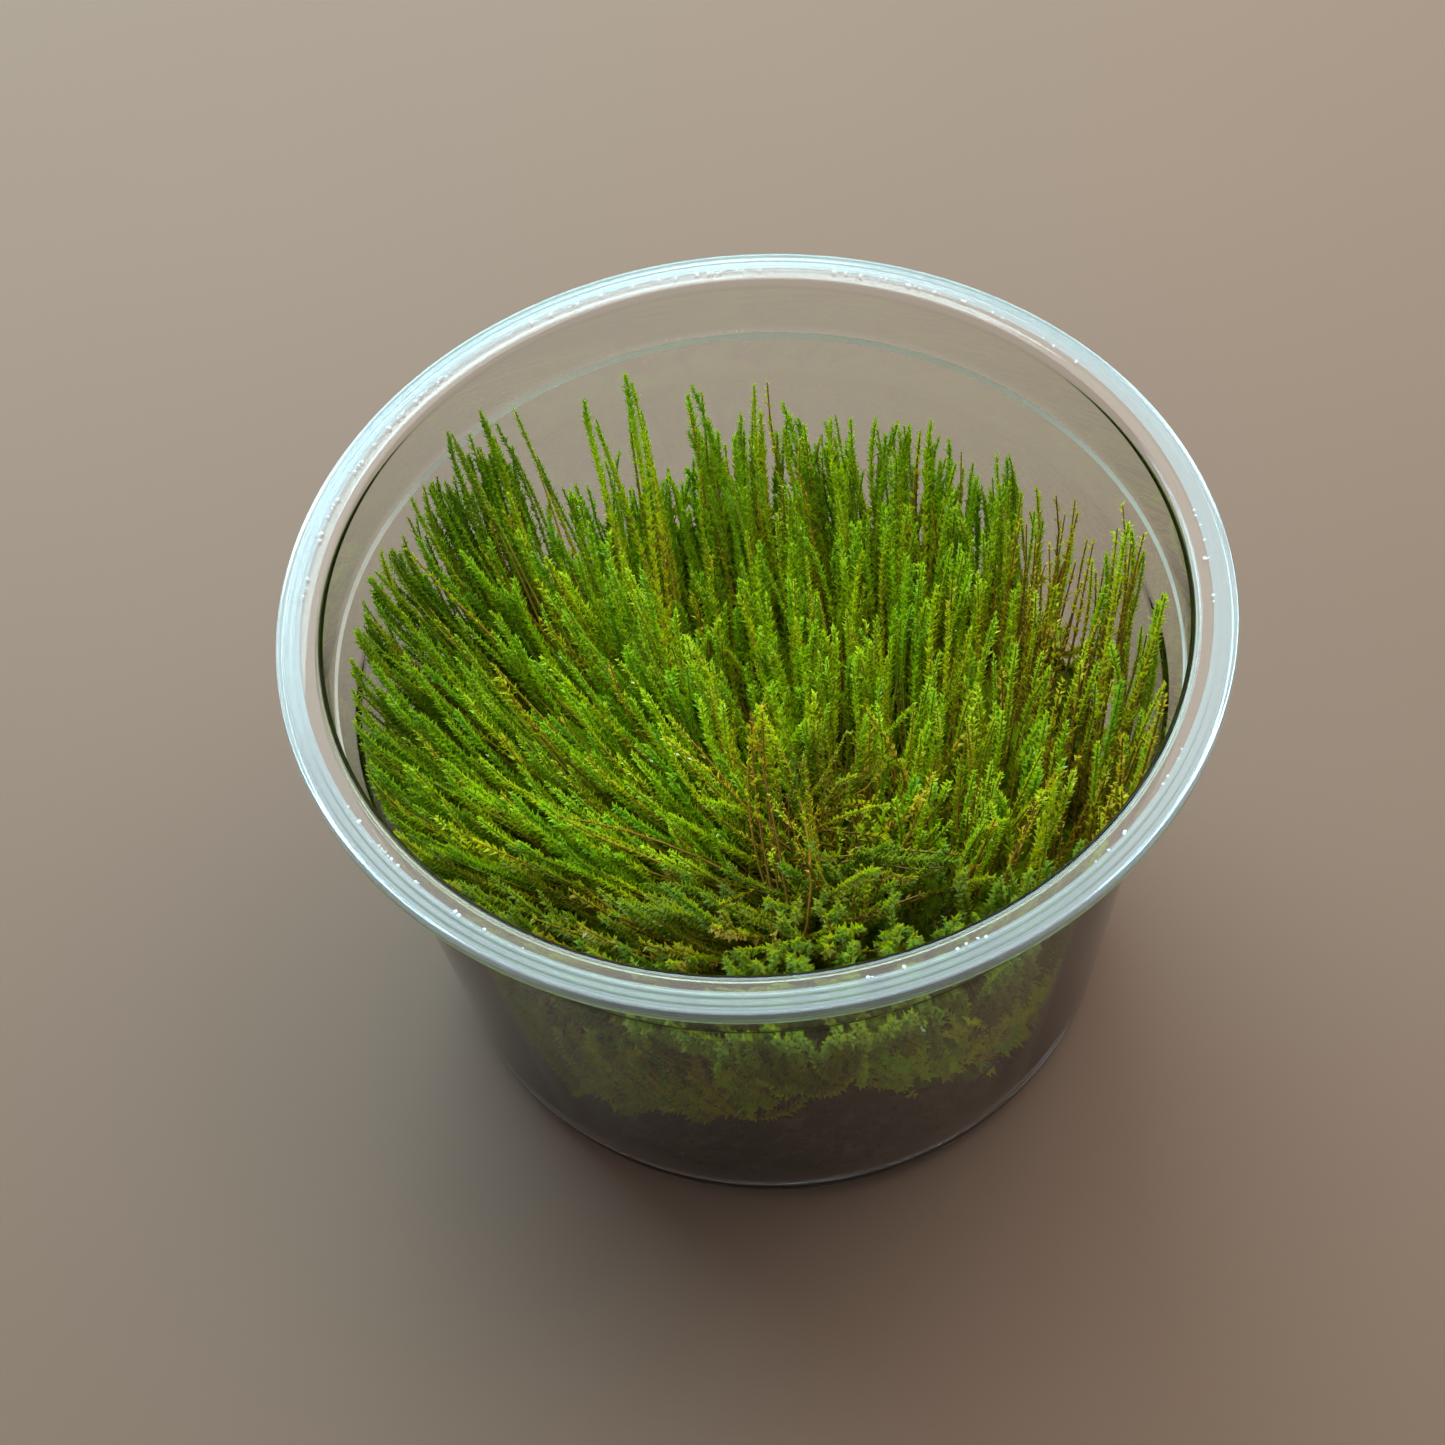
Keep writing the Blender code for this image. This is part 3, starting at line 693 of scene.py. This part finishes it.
def grow(x, y, height):
    # where the growth line through a place of the lattice is at this height
    share, angle = shareAndAngle(x, y)
    fan = 1.4 + 2.2 * np.maximum(0.0, np.cos(angle - math.radians(172))) ** 2
    spread = fan ** ((height - moss["latticeHeight"]) / moss["growthSpan"])
    grownX, grownY = fromParting((1.0 - (1.0 - share) ** spread) * wallDistance(angle, height), angle)
    sway = moss["sway"] * (height - soil["matTop"]) / moss["growthSpan"] * 4.0 * share * (1.0 - share)
    grownX = grownX + sway * np.sin(0.23 * y + 0.5)
    grownY = grownY + sway * np.sin(0.19 * x - 1.0)
    return np.stack(np.broadcast_arrays(grownX, grownY, height), axis=-1)


def bankHeight(x, y):
    share = shareAndAngle(x, y)[0]
    degrees, heights = zip(*skylineStops)
    atWall = np.interp(np.degrees(np.arctan2(y, x)), degrees, heights)
    return lerp(moss["partingTip"], atWall, np.minimum(1.0, 1.2 * share) ** 0.8)


def inParting(x, y, widen=1.0):
    bare = np.zeros(np.shape(x), bool)
    x, y = x - moss["parting"][0], y - moss["parting"][1]
    for degrees, start, end, halfWidth in partings:
        cos, sin = math.cos(math.radians(degrees)), math.sin(math.radians(degrees))
        out, across = x * cos + y * sin, y * cos - x * sin
        bare |= (start < out) & (out < end) & (np.abs(across) < halfWidth * widen)
    return bare


def inHollow(x, y):
    return np.any([np.hypot(x - middle[0], y - middle[1]) < radius for *middle, radius in hollows], axis=0)


def paintedHollowShade(x, y):
    # painted shade: shoots round a hollow are darkened in colour as if they stood in each other's shade
    paintedShade = np.ones(np.shape(x))
    for *middle, radius in hollows:
        away = np.hypot(x - middle[0], y - middle[1]) / radius
        paintedShade -= moss["paintedHollowShade"] * np.exp(-(away / 1.15) ** 4)
    return paintedShade.clip(0.2, 1.0)


def onLooseEdge(share, degrees):
    # the bank on the right is browner and looser near the wall
    start, way, halfWidth = moss["looseEdge"]
    return (share > start) & (np.abs(degrees - way) < halfWidth)


def lattice(pitch):
    # rows and columns of a net of triangles over the whole cup
    reach = int(cup["rimRadius"] / pitch) + 3
    rows, columns = np.mgrid[-reach:reach + 1, -reach:reach + 1]
    return rows.ravel(), columns.ravel()


def nearest(placeX, placeY, tall):
    # number of the shoot whose tip would stand nearest
    there = grow(placeX, placeY, tall[2])
    return np.argmin(np.hypot(there[:, 0] - tall[0], there[:, 1] - tall[1]))


def mainShoots():
    # one shoot for each spike of the solid bank, with the same tip
    rows, columns = lattice(moss["pitch"])
    x, y = (2 * columns + rows % 2) * moss["pitch"] / 2, 3 * rows * moss["pitch"] / math.sqrt(12)
    keep = (shareAndAngle(x, y)[0] < moss["outermost"]) & ~inParting(x, y)
    x, y = x[keep], y[keep]
    tallest = bankHeight(x, y)
    tip = tallest + moss["tipLongest"] - moss["tipSpread"] * (tallest - moss["tuftFoot"]) * scatter(x, y, 4)
    tip = np.where(inHollow(x, y), lerp(moss["tuftFoot"], tip, moss["hollowTips"]), tip)
    placeX = x + moss["looseness"] * (scatter(x, y, 2) - 0.5)
    placeY = y + moss["looseness"] * (scatter(x, y, 3) - 0.5)
    for tall in tallShoots:
        tip[nearest(placeX, placeY, tall)] = tall[2]
    return x, y, placeX, placeY, tip


def fillShoots(rng):
    # shoots between the main ones, a little shorter
    pitch = moss["fillPitch"]
    rows, columns = lattice(pitch)
    x = (columns + 0.5 * (rows % 2)) * pitch + rng.uniform(-0.45, 0.45, len(rows)) * pitch
    y = rows * pitch * math.sqrt(0.75) + rng.uniform(-0.45, 0.45, len(rows)) * pitch
    share, angle = shareAndAngle(x, y)
    sparse = onLooseEdge(share, np.degrees(angle)) & (rng.random(len(x)) < 0.82)
    sparse |= (share < moss["hollow"]) & (rng.random(len(x)) < 0.8)
    keep = (share < moss["outermost"] + 0.01) & ~inParting(x, y, 1.2) & ~inHollow(x, y) & ~sparse
    x, y = x[keep], y[keep]
    tallest = bankHeight(x, y)
    tip = tallest + 0.2 - moss["fillDrop"] * (tallest - moss["tuftFoot"]) * rng.random(len(x))
    return x, y, x, y, tip


def companions(main, rng):
    # a few lower shoots beside each tall one
    x, y, placeX, placeY, tip = main
    found = []
    for tall in tallShoots:
        own = nearest(placeX, placeY, tall)
        for number in range(moss["companions"]):
            offX, offY = rng.normal(0.0, 0.8, 2)
            lower = tall[2] - rng.uniform(0.4, 7.0)
            found.append((x[own], y[own], placeX[own] + offX, placeY[own] + offY, lower))
    return tuple(np.array(column) for column in zip(*found))


def insideWall(x, y, height):
    limit = np.minimum(1.0, (wallInside(height) - moss["wallGap"]) / np.hypot(x, y))
    return np.stack([x * limit, y * limit, height], axis=-1)


def strayLines(s, rng):
    # longer shoots that cross each other round the parting
    count = s["count"]
    share = np.linspace(0.0, 1.0, moss["points"])[None, :, None]
    way = np.radians(rng.uniform(*s["way"], count))
    foot = rng.uniform(-1.0, 1.0, (2, count)) * s["reach"]
    foot = np.stack([*foot, np.full(count, moss["foot"])], axis=1)
    foot[:, :2] += moss["parting"]
    length = rng.uniform(*s["length"], count)
    climb = np.radians(rng.uniform(*s["climb"], count))
    run = np.stack([np.cos(way) * np.cos(climb), np.sin(way) * np.cos(climb), np.sin(climb)], axis=1)
    tip = foot + run * length[:, None]
    handful = np.repeat(np.array(crossings), s["handful"], axis=0)
    handful += rng.normal(0.0, s["scatter"], handful.shape)
    foot, tip = np.concatenate([foot, handful[:, 0]]), np.concatenate([tip, handful[:, 1]])
    bend = rng.normal(0.0, 1.0, (len(foot), 1, 3)) * s["bend"] * share * (1.0 - share)
    lines = lerp(foot[:, None, :], tip[:, None, :], share) + bend * (1.0, 1.0, 0.4)
    return insideWall(lines[..., 0], lines[..., 1], lines[..., 2])


def clumped(x, y, tips):
    # tips of neighbouring shoots draw together like wet strands
    cellX, cellY = np.round(x / moss["clump"]), np.round(y / moss["clump"])
    middleX, middleY = ((cell + 0.7 * (scatter(cellX, cellY, kind) - 0.5)) * moss["clump"]
                        for cell, kind in ((cellX, 11), (cellY, 12)))
    middle = grow(middleX, middleY, tips[:, 2])
    pull = moss["clumping"] * np.clip(scatter(x, y, 13) + 0.4, 0.0, 1.0)[:, None]
    drawn = tips.copy()
    drawn[:, :2] = lerp(tips[:, :2], middle[:, :2], pull)
    return drawn, 2.0 * scatter(cellX, cellY, 14) - 1.0, 2.0 * scatter(cellX, cellY, 15) - 1.0


def shootLines(x, y, tips, rng):
    # centre lines, foot to tip: shoots of one bank lean over side by side, and cross near the parting
    count = len(tips)
    tips, swingX, swingY = clumped(x, y, tips)
    share = np.linspace(0.0, 1.0, moss["points"])[None, :]
    out = tips[:, :2] - np.array(moss["parting"])
    reach = np.hypot(out[:, 0], out[:, 1])
    degrees = (np.degrees(np.arctan2(out[:, 1], out[:, 0])) + 14.0) % 360.0 - 14.0
    stops, leanX, leanY = (np.array(column, float) for column in zip(*leans))
    amount = rng.uniform(0.6, 1.2, count)
    stray = 0.07 + 0.45 * np.exp(-(reach / 10.0) ** 2)
    leanX, leanY = (
        np.interp(degrees, stops, lean) * amount + 0.18 * swing + stray * rng.standard_normal(count)
        for lean, swing in ((leanX, swingX), (leanY, swingY)))
    rise = tips[:, 2] - moss["foot"]
    room = np.maximum(4.0, 0.85 * reach)
    over = np.minimum(1.0, room / (np.hypot(leanX, leanY) * rise))
    height = lerp(moss["foot"], tips[:, 2:3], share ** 1.15)
    drop = (rise * over)[:, None] * (1.0 - share) ** moss["upturn"]
    way = rng.uniform(0, 2 * np.pi, (count, 1))
    bend = moss["bend"] * rng.random((count, 1)) * (4.0 * share * (1.0 - share))
    wave = 0.2 * np.sin(share * rng.uniform(5.0, 11.0, (count, 1)) + way * 3.0) * share
    x = tips[:, 0:1] - leanX[:, None] * drop + bend * np.cos(way) + wave * np.sin(way)
    y = tips[:, 1:2] - leanY[:, None] * drop + bend * np.sin(way) - wave * np.cos(way)
    return insideWall(x, y, height)


def fromTips(lines):
    # length of shoot between each point and the tip
    steps = np.linalg.norm(np.diff(lines, axis=1), axis=2)
    return np.concatenate([np.cumsum(steps[:, ::-1], axis=1)[:, ::-1], np.zeros((len(lines), 1))], axis=1)


def linesObject(name, lines, values):
    # edges along every line, with one value each a point or a line
    count, points = lines.shape[:2]
    index = np.arange(count * points).reshape(count, points)
    edges = np.stack([index[:, :-1].ravel(), index[:, 1:].ravel()], axis=1)
    obj = makeObject(name, lines.reshape(-1, 3), edges=edges.tolist())
    for key, value in values.items():
        value = np.broadcast_to(value, (count, points)).astype(np.float32)
        obj.data.attributes.new(key, "FLOAT", "POINT").data.foreach_set("value", value.ravel())
    return obj


def leafShape(values):
    # a closed pointed leaf, a millimetre long along Z, its keel away from the stem
    half, up = values["width"] / values["length"] / 2, values["widest"]
    points = [(0, 0, 0), (-half, -values["keel"], up), (half, -values["keel"], up), (0, values["curl"], 1)]
    return makeObject("leafShape", points, [(0, 2, 1), (1, 2, 3), (0, 1, 3), (0, 3, 2)])


def leafyTree():
    # sweeps a stem along every line and sets leaves round it in a spiral
    tree, source, result = newTree(
        "leafyShoots", Object="Leaf, Body", Int="Seed", Material="Leaf Finish, Stem Finish",
        Float="Leaf Length, Leaf Spacing, Leaf Spread, Tip Spread, Stem Radius, Stem Step")
    given = source.outputs
    curves = made(tree, "GeometryNodeMeshToCurve", {"Mesh": given["Geometry"]})

    def named(name):
        return made(tree, "GeometryNodeInputNamedAttribute", {"Name": name}, data_type="FLOAT")

    def vary(low, high, offset):
        return chance(tree, low, high, calc(tree, "ADD", given["Seed"], offset))

    def times(first, second):
        return calc(tree, "MULTIPLY", first, second)

    def spin(rotation, axis, angle):
        by = made(tree, "FunctionNodeAxisAngleToRotation", {"Axis": axis, "Angle": angle})
        return made(tree, "FunctionNodeRotateRotation", {"Rotation": rotation, "Rotate By": by},
                    rotation_space="LOCAL")

    def stepped(length):
        return made(tree, "GeometryNodeResampleCurve", {"Curve": curves, "Length": length}, mode="LENGTH")

    def finished(geometry, material):
        return made(tree, "GeometryNodeSetMaterial", {"Geometry": geometry, "Material": material})

    taper = times(given["Stem Radius"], between(tree, named("age"), 0.0, 0.6, 0.45, 1.0))
    circle = made(tree, "GeometryNodeCurvePrimitiveCircle", {"Resolution": 3, "Radius": 1.0})
    stems = made(tree, "GeometryNodeCurveToMesh", {
        "Curve": stepped(given["Stem Step"]), "Profile Curve": circle, "Scale": taper, "Fill Caps": True})

    leafLine = stepped(given["Leaf Spacing"])
    spots = addNode(tree, "GeometryNodeCurveToPoints", {"Curve": leafLine}, mode="EVALUATED")
    index = made(tree, "GeometryNodeInputIndex")
    upright = made(tree, "FunctionNodeAlignRotationToVector", {"Vector": spots.outputs["Tangent"]}, axis="Z")
    around = calc(tree, "ADD", times(index, math.radians(leaf["turn"])), vary(-0.4, 0.4, 1))
    spread = between(tree, named("age"), 0.0, 0.18, given["Tip Spread"], given["Leaf Spread"])
    budding = between(tree, named("age"), 0.0, 0.05, 0.55, 1.0)
    outwards = times(times(times(spread, vary(0.7, 1.25, 2)), budding), -1.0)
    rotation = spin(spin(upright, (0.0, 0.0, 1.0), around), (1.0, 0.0, 0.0), outwards)
    size = times(times(given["Leaf Length"], named("vigour")), vary(0.75, 1.2, 3))
    present = calc(tree, "LESS_THAN", vary(0.0, 1.0, 4), named("cover"))
    shape = addNode(tree, "GeometryNodeObjectInfo", {"Object": given["Leaf"]}).outputs["Geometry"]
    leaves = made(tree, "GeometryNodeInstanceOnPoints", {
        "Points": spots.outputs["Points"], "Selection": present, "Instance": shape, "Rotation": rotation,
        "Scale": size})
    leaves = made(tree, "GeometryNodeStoreNamedAttribute", {
        "Geometry": leaves, "Name": "leafTone", "Value": vary(0.0, 1.0, 5)}, data_type="FLOAT",
        domain="INSTANCE")
    leaves = made(tree, "GeometryNodeRealizeInstances", {"Geometry": leaves})

    body = addNode(tree, "GeometryNodeObjectInfo", {"Object": given["Body"]}).outputs["Geometry"]
    both = addNode(tree, "GeometryNodeJoinGeometry")
    for part in (finished(stems, given["Stem Finish"]), finished(leaves, given["Leaf Finish"]), body):
        tree.links.new(part, both.inputs[0])
    tree.links.new(both.outputs[0], result.inputs[0])
    return tree


def growShoots(name, lines, values, body, bank, tree, shape, seed):
    # leafs the lines out, joins them with the body, and hands the piece over
    values["age"] = np.clip(fromTips(lines) / moss["agedLength"], 0.0, 1.0)
    piece = linesObject(name, lines, values)
    grownMesh(piece, tree, {
        "Leaf": shape, "Leaf Length": leaf["length"], "Leaf Spacing": leaf["spacing"] * mm,
        "Leaf Spread": math.radians(leaf["spread"]), "Tip Spread": math.radians(bank["tipSpread"]),
        "Stem Radius": leaf["stemRadius"] * mm, "Stem Step": leaf["stemStep"] * mm, "Seed": seed,
        "Leaf Finish": bank["leaves"], "Stem Finish": bank["stems"], "Body": body})
    bpy.data.objects.remove(body)
    keepInside(piece)
    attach(piece, "root")
    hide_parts(bank["node"])
    print(name, len(lines), "shoots,", sum(len(p.vertices) - 2 for p in piece.data.polygons), "triangles")


def growBank(name, bank, shoots, tree, shape, seed):
    # all shoots of one bank as one mesh
    lines, degrees, edge, brown = shoots
    mine = (degrees - bank["from"]) % 360 < bank["to"] - bank["from"]
    lines, edge, brown = lines[mine], edge[mine][:, None], brown[mine][:, None]
    each = (len(lines), 1)
    rng = np.random.default_rng(seed)
    fromTip = fromTips(lines)
    seen = np.clip(1.8 - fromTip / moss["leafyLength"] * 1.4, 0.04, 1.0)
    seen *= np.clip(0.35 + 2.0 * edge, 0.35, 1.0)
    leafyWall = np.clip((edge - 0.88) / 0.06, 0.0, 0.8)
    nearWall = np.clip((edge - 0.72) / 0.2, 0.0, 1.0)
    tone = bank["tone"] + bank["inner"] * (1.0 - edge) + 0.11 * rng.standard_normal(each)
    # painted light and shade: each bank's brightness, changed near the wall, goes into its leaves' colour
    light = bank["light"] * rng.uniform(0.85, 1.1, each) * lerp(1.0, bank["atWall"], nearWall)
    vigour = bank["vigour"] * rng.uniform(0.75, 1.3, each)
    values = {
        "tone": tone + 0.38 * brown + 0.02 * fromTip,
        # painted shade round the hollows
        "light": light * paintedHollowShade(lines[..., 0], lines[..., 1]),
        "vigour": vigour * np.clip(0.68 + fromTip / 5.0, 0.68, 1.0),
        "cover": np.maximum(seen, leafyWall) * rng.uniform(0.75, 1.0, each) * (1.0 - 0.6 * brown),
    }
    growShoots(name, lines, values, bankCore(bank), bank, tree, shape, seed)


def bankCore(bank):
    # dim green heart of a bank, below the leafy tips and clear of the wall
    rows, columns = moss["coreGrid"]
    angles = np.radians(np.linspace(bank["from"] + 1.0, bank["to"] - 1.0, rows))
    share, angle = np.meshgrid(np.linspace(0.0, moss["coreReach"], columns), angles)
    x, y = fromParting(share * wallDistance(angle, moss["latticeHeight"]), angle)
    low = soil["matTop"] - 1.5
    rough = moss["coreRough"] * scatter(np.round(x * 2.0), np.round(y * 2.0), 21)
    full = bankHeight(x, y) - moss["coreDepth"] - rough
    slope = np.clip((bank["coreEdge"] - share) / 0.2, 0.0, 1.0) ** 0.5
    high = low + 0.4 + (full - low - 0.4).clip(0.0) * slope
    points = np.concatenate([grow(x, y, high).reshape(-1, 3), grow(x, y, low).reshape(-1, 3)])
    count = rows * columns
    index = np.arange(count).reshape(rows, columns)
    corners = (index[:-1, :-1], index[:-1, 1:], index[1:, 1:], index[1:, :-1])
    faces = []
    for face in zip(*(corner.ravel() for corner in corners)):
        faces += [face, tuple(corner + count for corner in face[::-1])]
    border = np.concatenate([index[0], index[1:, -1], index[-1, -2::-1], index[-2:0:-1, 0]])
    for first, second in zip(border, np.roll(border, -1)):
        faces.append((second, first, first + count, second + count))
    return makeObject("bankCore", points, faces, material=bank["heart"])


def allShoots():
    # each shoot's line, direction from the parting, share of the way to the wall, and whether it is brown
    rng = np.random.default_rng(moss["seed"])
    main = mainShoots()
    groups = [main, fillShoots(rng), companions(main, rng)]
    latticeX, latticeY, x, y, tip = (np.concatenate(parts) for parts in zip(*groups))
    share, angle = shareAndAngle(latticeX, latticeY)
    degrees = np.degrees(angle)
    lines = shootLines(x, y, grow(x, y, tip), rng)
    atLeft = np.abs((degrees - 205.0 + 180.0) % 360.0 - 180.0) < 40.0
    often = np.where(onLooseEdge(share, degrees), 0.5, np.where(atLeft, 0.16, 0.07))
    brown = (rng.random(len(x)) < often).astype(float)
    crossed = strayLines(strays, rng)
    crossedShare, crossedAngle = shareAndAngle(crossed[:, -1, 0], crossed[:, -1, 1])
    crossedBrown = (rng.random(len(crossed)) < 0.5).astype(float)
    return (np.concatenate([lines, crossed]), np.concatenate([degrees, np.degrees(crossedAngle)]),
            np.concatenate([share, crossedShare]), np.concatenate([brown, crossedBrown]))


def buildBanks():
    shoots = allShoots()
    tree, shape = leafyTree(), leafShape(leaf)
    finishes = {
        "leaves": leafMaterial("greenLeaf", leafLook),
        "stems": stemMaterial("greenStem", stemLook),
        "heart": roughMaterial("greenHeart", heartLook["green"], heartLook),
    }
    for seed, (name, row) in enumerate(banks.items()):
        growBank(name, {**dict(zip(bankValues, row)), **finishes}, shoots, tree, shape, 20 + seed)
    return tree, shape, finishes


leafyShoots = buildBanks()
print("banks grown")


oldMoss = {
    "node": "moss_mat", "slot": "old_moss", "tipSpread": 50, "sprigs": 690, "points": 8,
    "length": (4.0, 10.0), "drift": (0.1, 1.0), "depth": 2.4, "tone": (0.25, 0.8), "skirt": 31.0,
    "skirtGap": 2.2, "seed": 31,
    # every fourth sprig goes to each of these sectors, and that much lower
    "sectors": (((-155.0, -95.0), 4.0), ((-72.0, 0.0), 2.5)),
    # sprigs towards the front right get painted light that makes them brighter, and a greener tone
    "paleWay": -40.0, "paleWidth": 35.0, "sprigPaintedLight": 1.1, "paleTone": 0.15,
}


def sprigLines(s, rng):
    # sprigs that lie against the wall, from the soil up to the banks, drifting left as they rise
    count = s["sprigs"]
    share = np.linspace(0.0, 1.0, s["points"])[None, :]
    angle = rng.uniform(0.0, 2 * np.pi, count)
    for first, (way, lower) in enumerate(s["sectors"]):
        angle[first::4] = np.radians(rng.uniform(*way, len(angle[first::4])))
    foot = lerp(soilAround(s["skirt"], angle) + 0.3, soil["matTop"] - 2.0, rng.random(count) ** 1.2)
    for first, (way, lower) in enumerate(s["sectors"]):
        foot[first::4] -= lower
    length = rng.uniform(*s["length"], count)
    drift = rng.uniform(*s["drift"], count) * np.where(rng.random(count) < 0.8, 1.0, -1.0)
    rise = length / np.sqrt(1.0 + drift ** 2)
    height = np.minimum(foot[:, None] + rise[:, None] * share, soil["matTop"] + 3.0)
    depth = 0.85 + s["depth"] * rng.random((count, 1)) * (1.0 - 0.8 * np.sin(np.pi * share))
    radius = wallInside(height) - depth
    turn = angle[:, None] - drift[:, None] * (height - foot[:, None]) / radius
    wave = 0.3 * np.sin(share * 7.0 + 6.0 * rng.random((count, 1)))
    return np.stack([radius * np.cos(turn), radius * np.sin(turn), height + wave], axis=-1)


def oldMossBody(s, material):
    angle = fullCircle(soil["sectors"])
    gap = soil["clearance"]
    reach, rim = soilRim(angle)
    shares = np.linspace(0.0, 1.0, 12)[1:]
    rings = [(share * reach, soilAround(share * reach, angle) + gap) for share in shares]
    foot = soilAround(wallInside(rim) - s["skirtGap"], angle) + gap
    for share in np.linspace(0.0, 1.0, 10):
        height = lerp(foot, soil["matTop"] - 0.6, share)
        rings.append((wallInside(height) - s["skirtGap"] - 1.3 * scatter(angle, share, 6), height))
    for share in np.linspace(1.0, 0.0, 20, endpoint=False):
        radius = share * (wallInside(soil["matTop"]) - 2.6)
        rings.append((radius, soil["matTop"] - 0.2 - 1.0 * scatter(angle, share, 7)))
    points, faces = stackRings(rings, float(soilHeight(0.0, 0.0)) + gap, soil["matTop"] - 0.6)
    return makeObject("oldMossBody", points, faces, material=material)


def buildOldMoss(s, tree, shape, finishes):
    body = oldMossBody(s, roughMaterial("oldHeart", heartLook["old"], heartLook))
    rng = np.random.default_rng(s["seed"])
    lines = sprigLines(s, rng)
    fromTip = fromTips(lines)
    each = (len(lines), 1)
    way = np.degrees(np.arctan2(lines[:, :1, 1], lines[:, :1, 0]))
    pale = np.exp(-((way - s["paleWay"]) / s["paleWidth"]) ** 2)
    values = {
        "tone": rng.uniform(*s["tone"], each) + 0.02 * fromTip - s["paleTone"] * pale,
        # painted light: the sprigs towards the front right are brightened
        "light": rng.uniform(0.7, 1.5, each) * (1.0 + s["sprigPaintedLight"] * pale),
        "vigour": rng.uniform(0.85, 1.3, each),
        "cover": rng.uniform(0.5, 0.95, each),
    }
    growShoots("oldMoss", lines, values, body, {**s, **finishes}, tree, shape, s["seed"])
    bpy.data.objects.remove(shape)


buildOldMoss(oldMoss, *leafyShoots)
print("old moss laid")
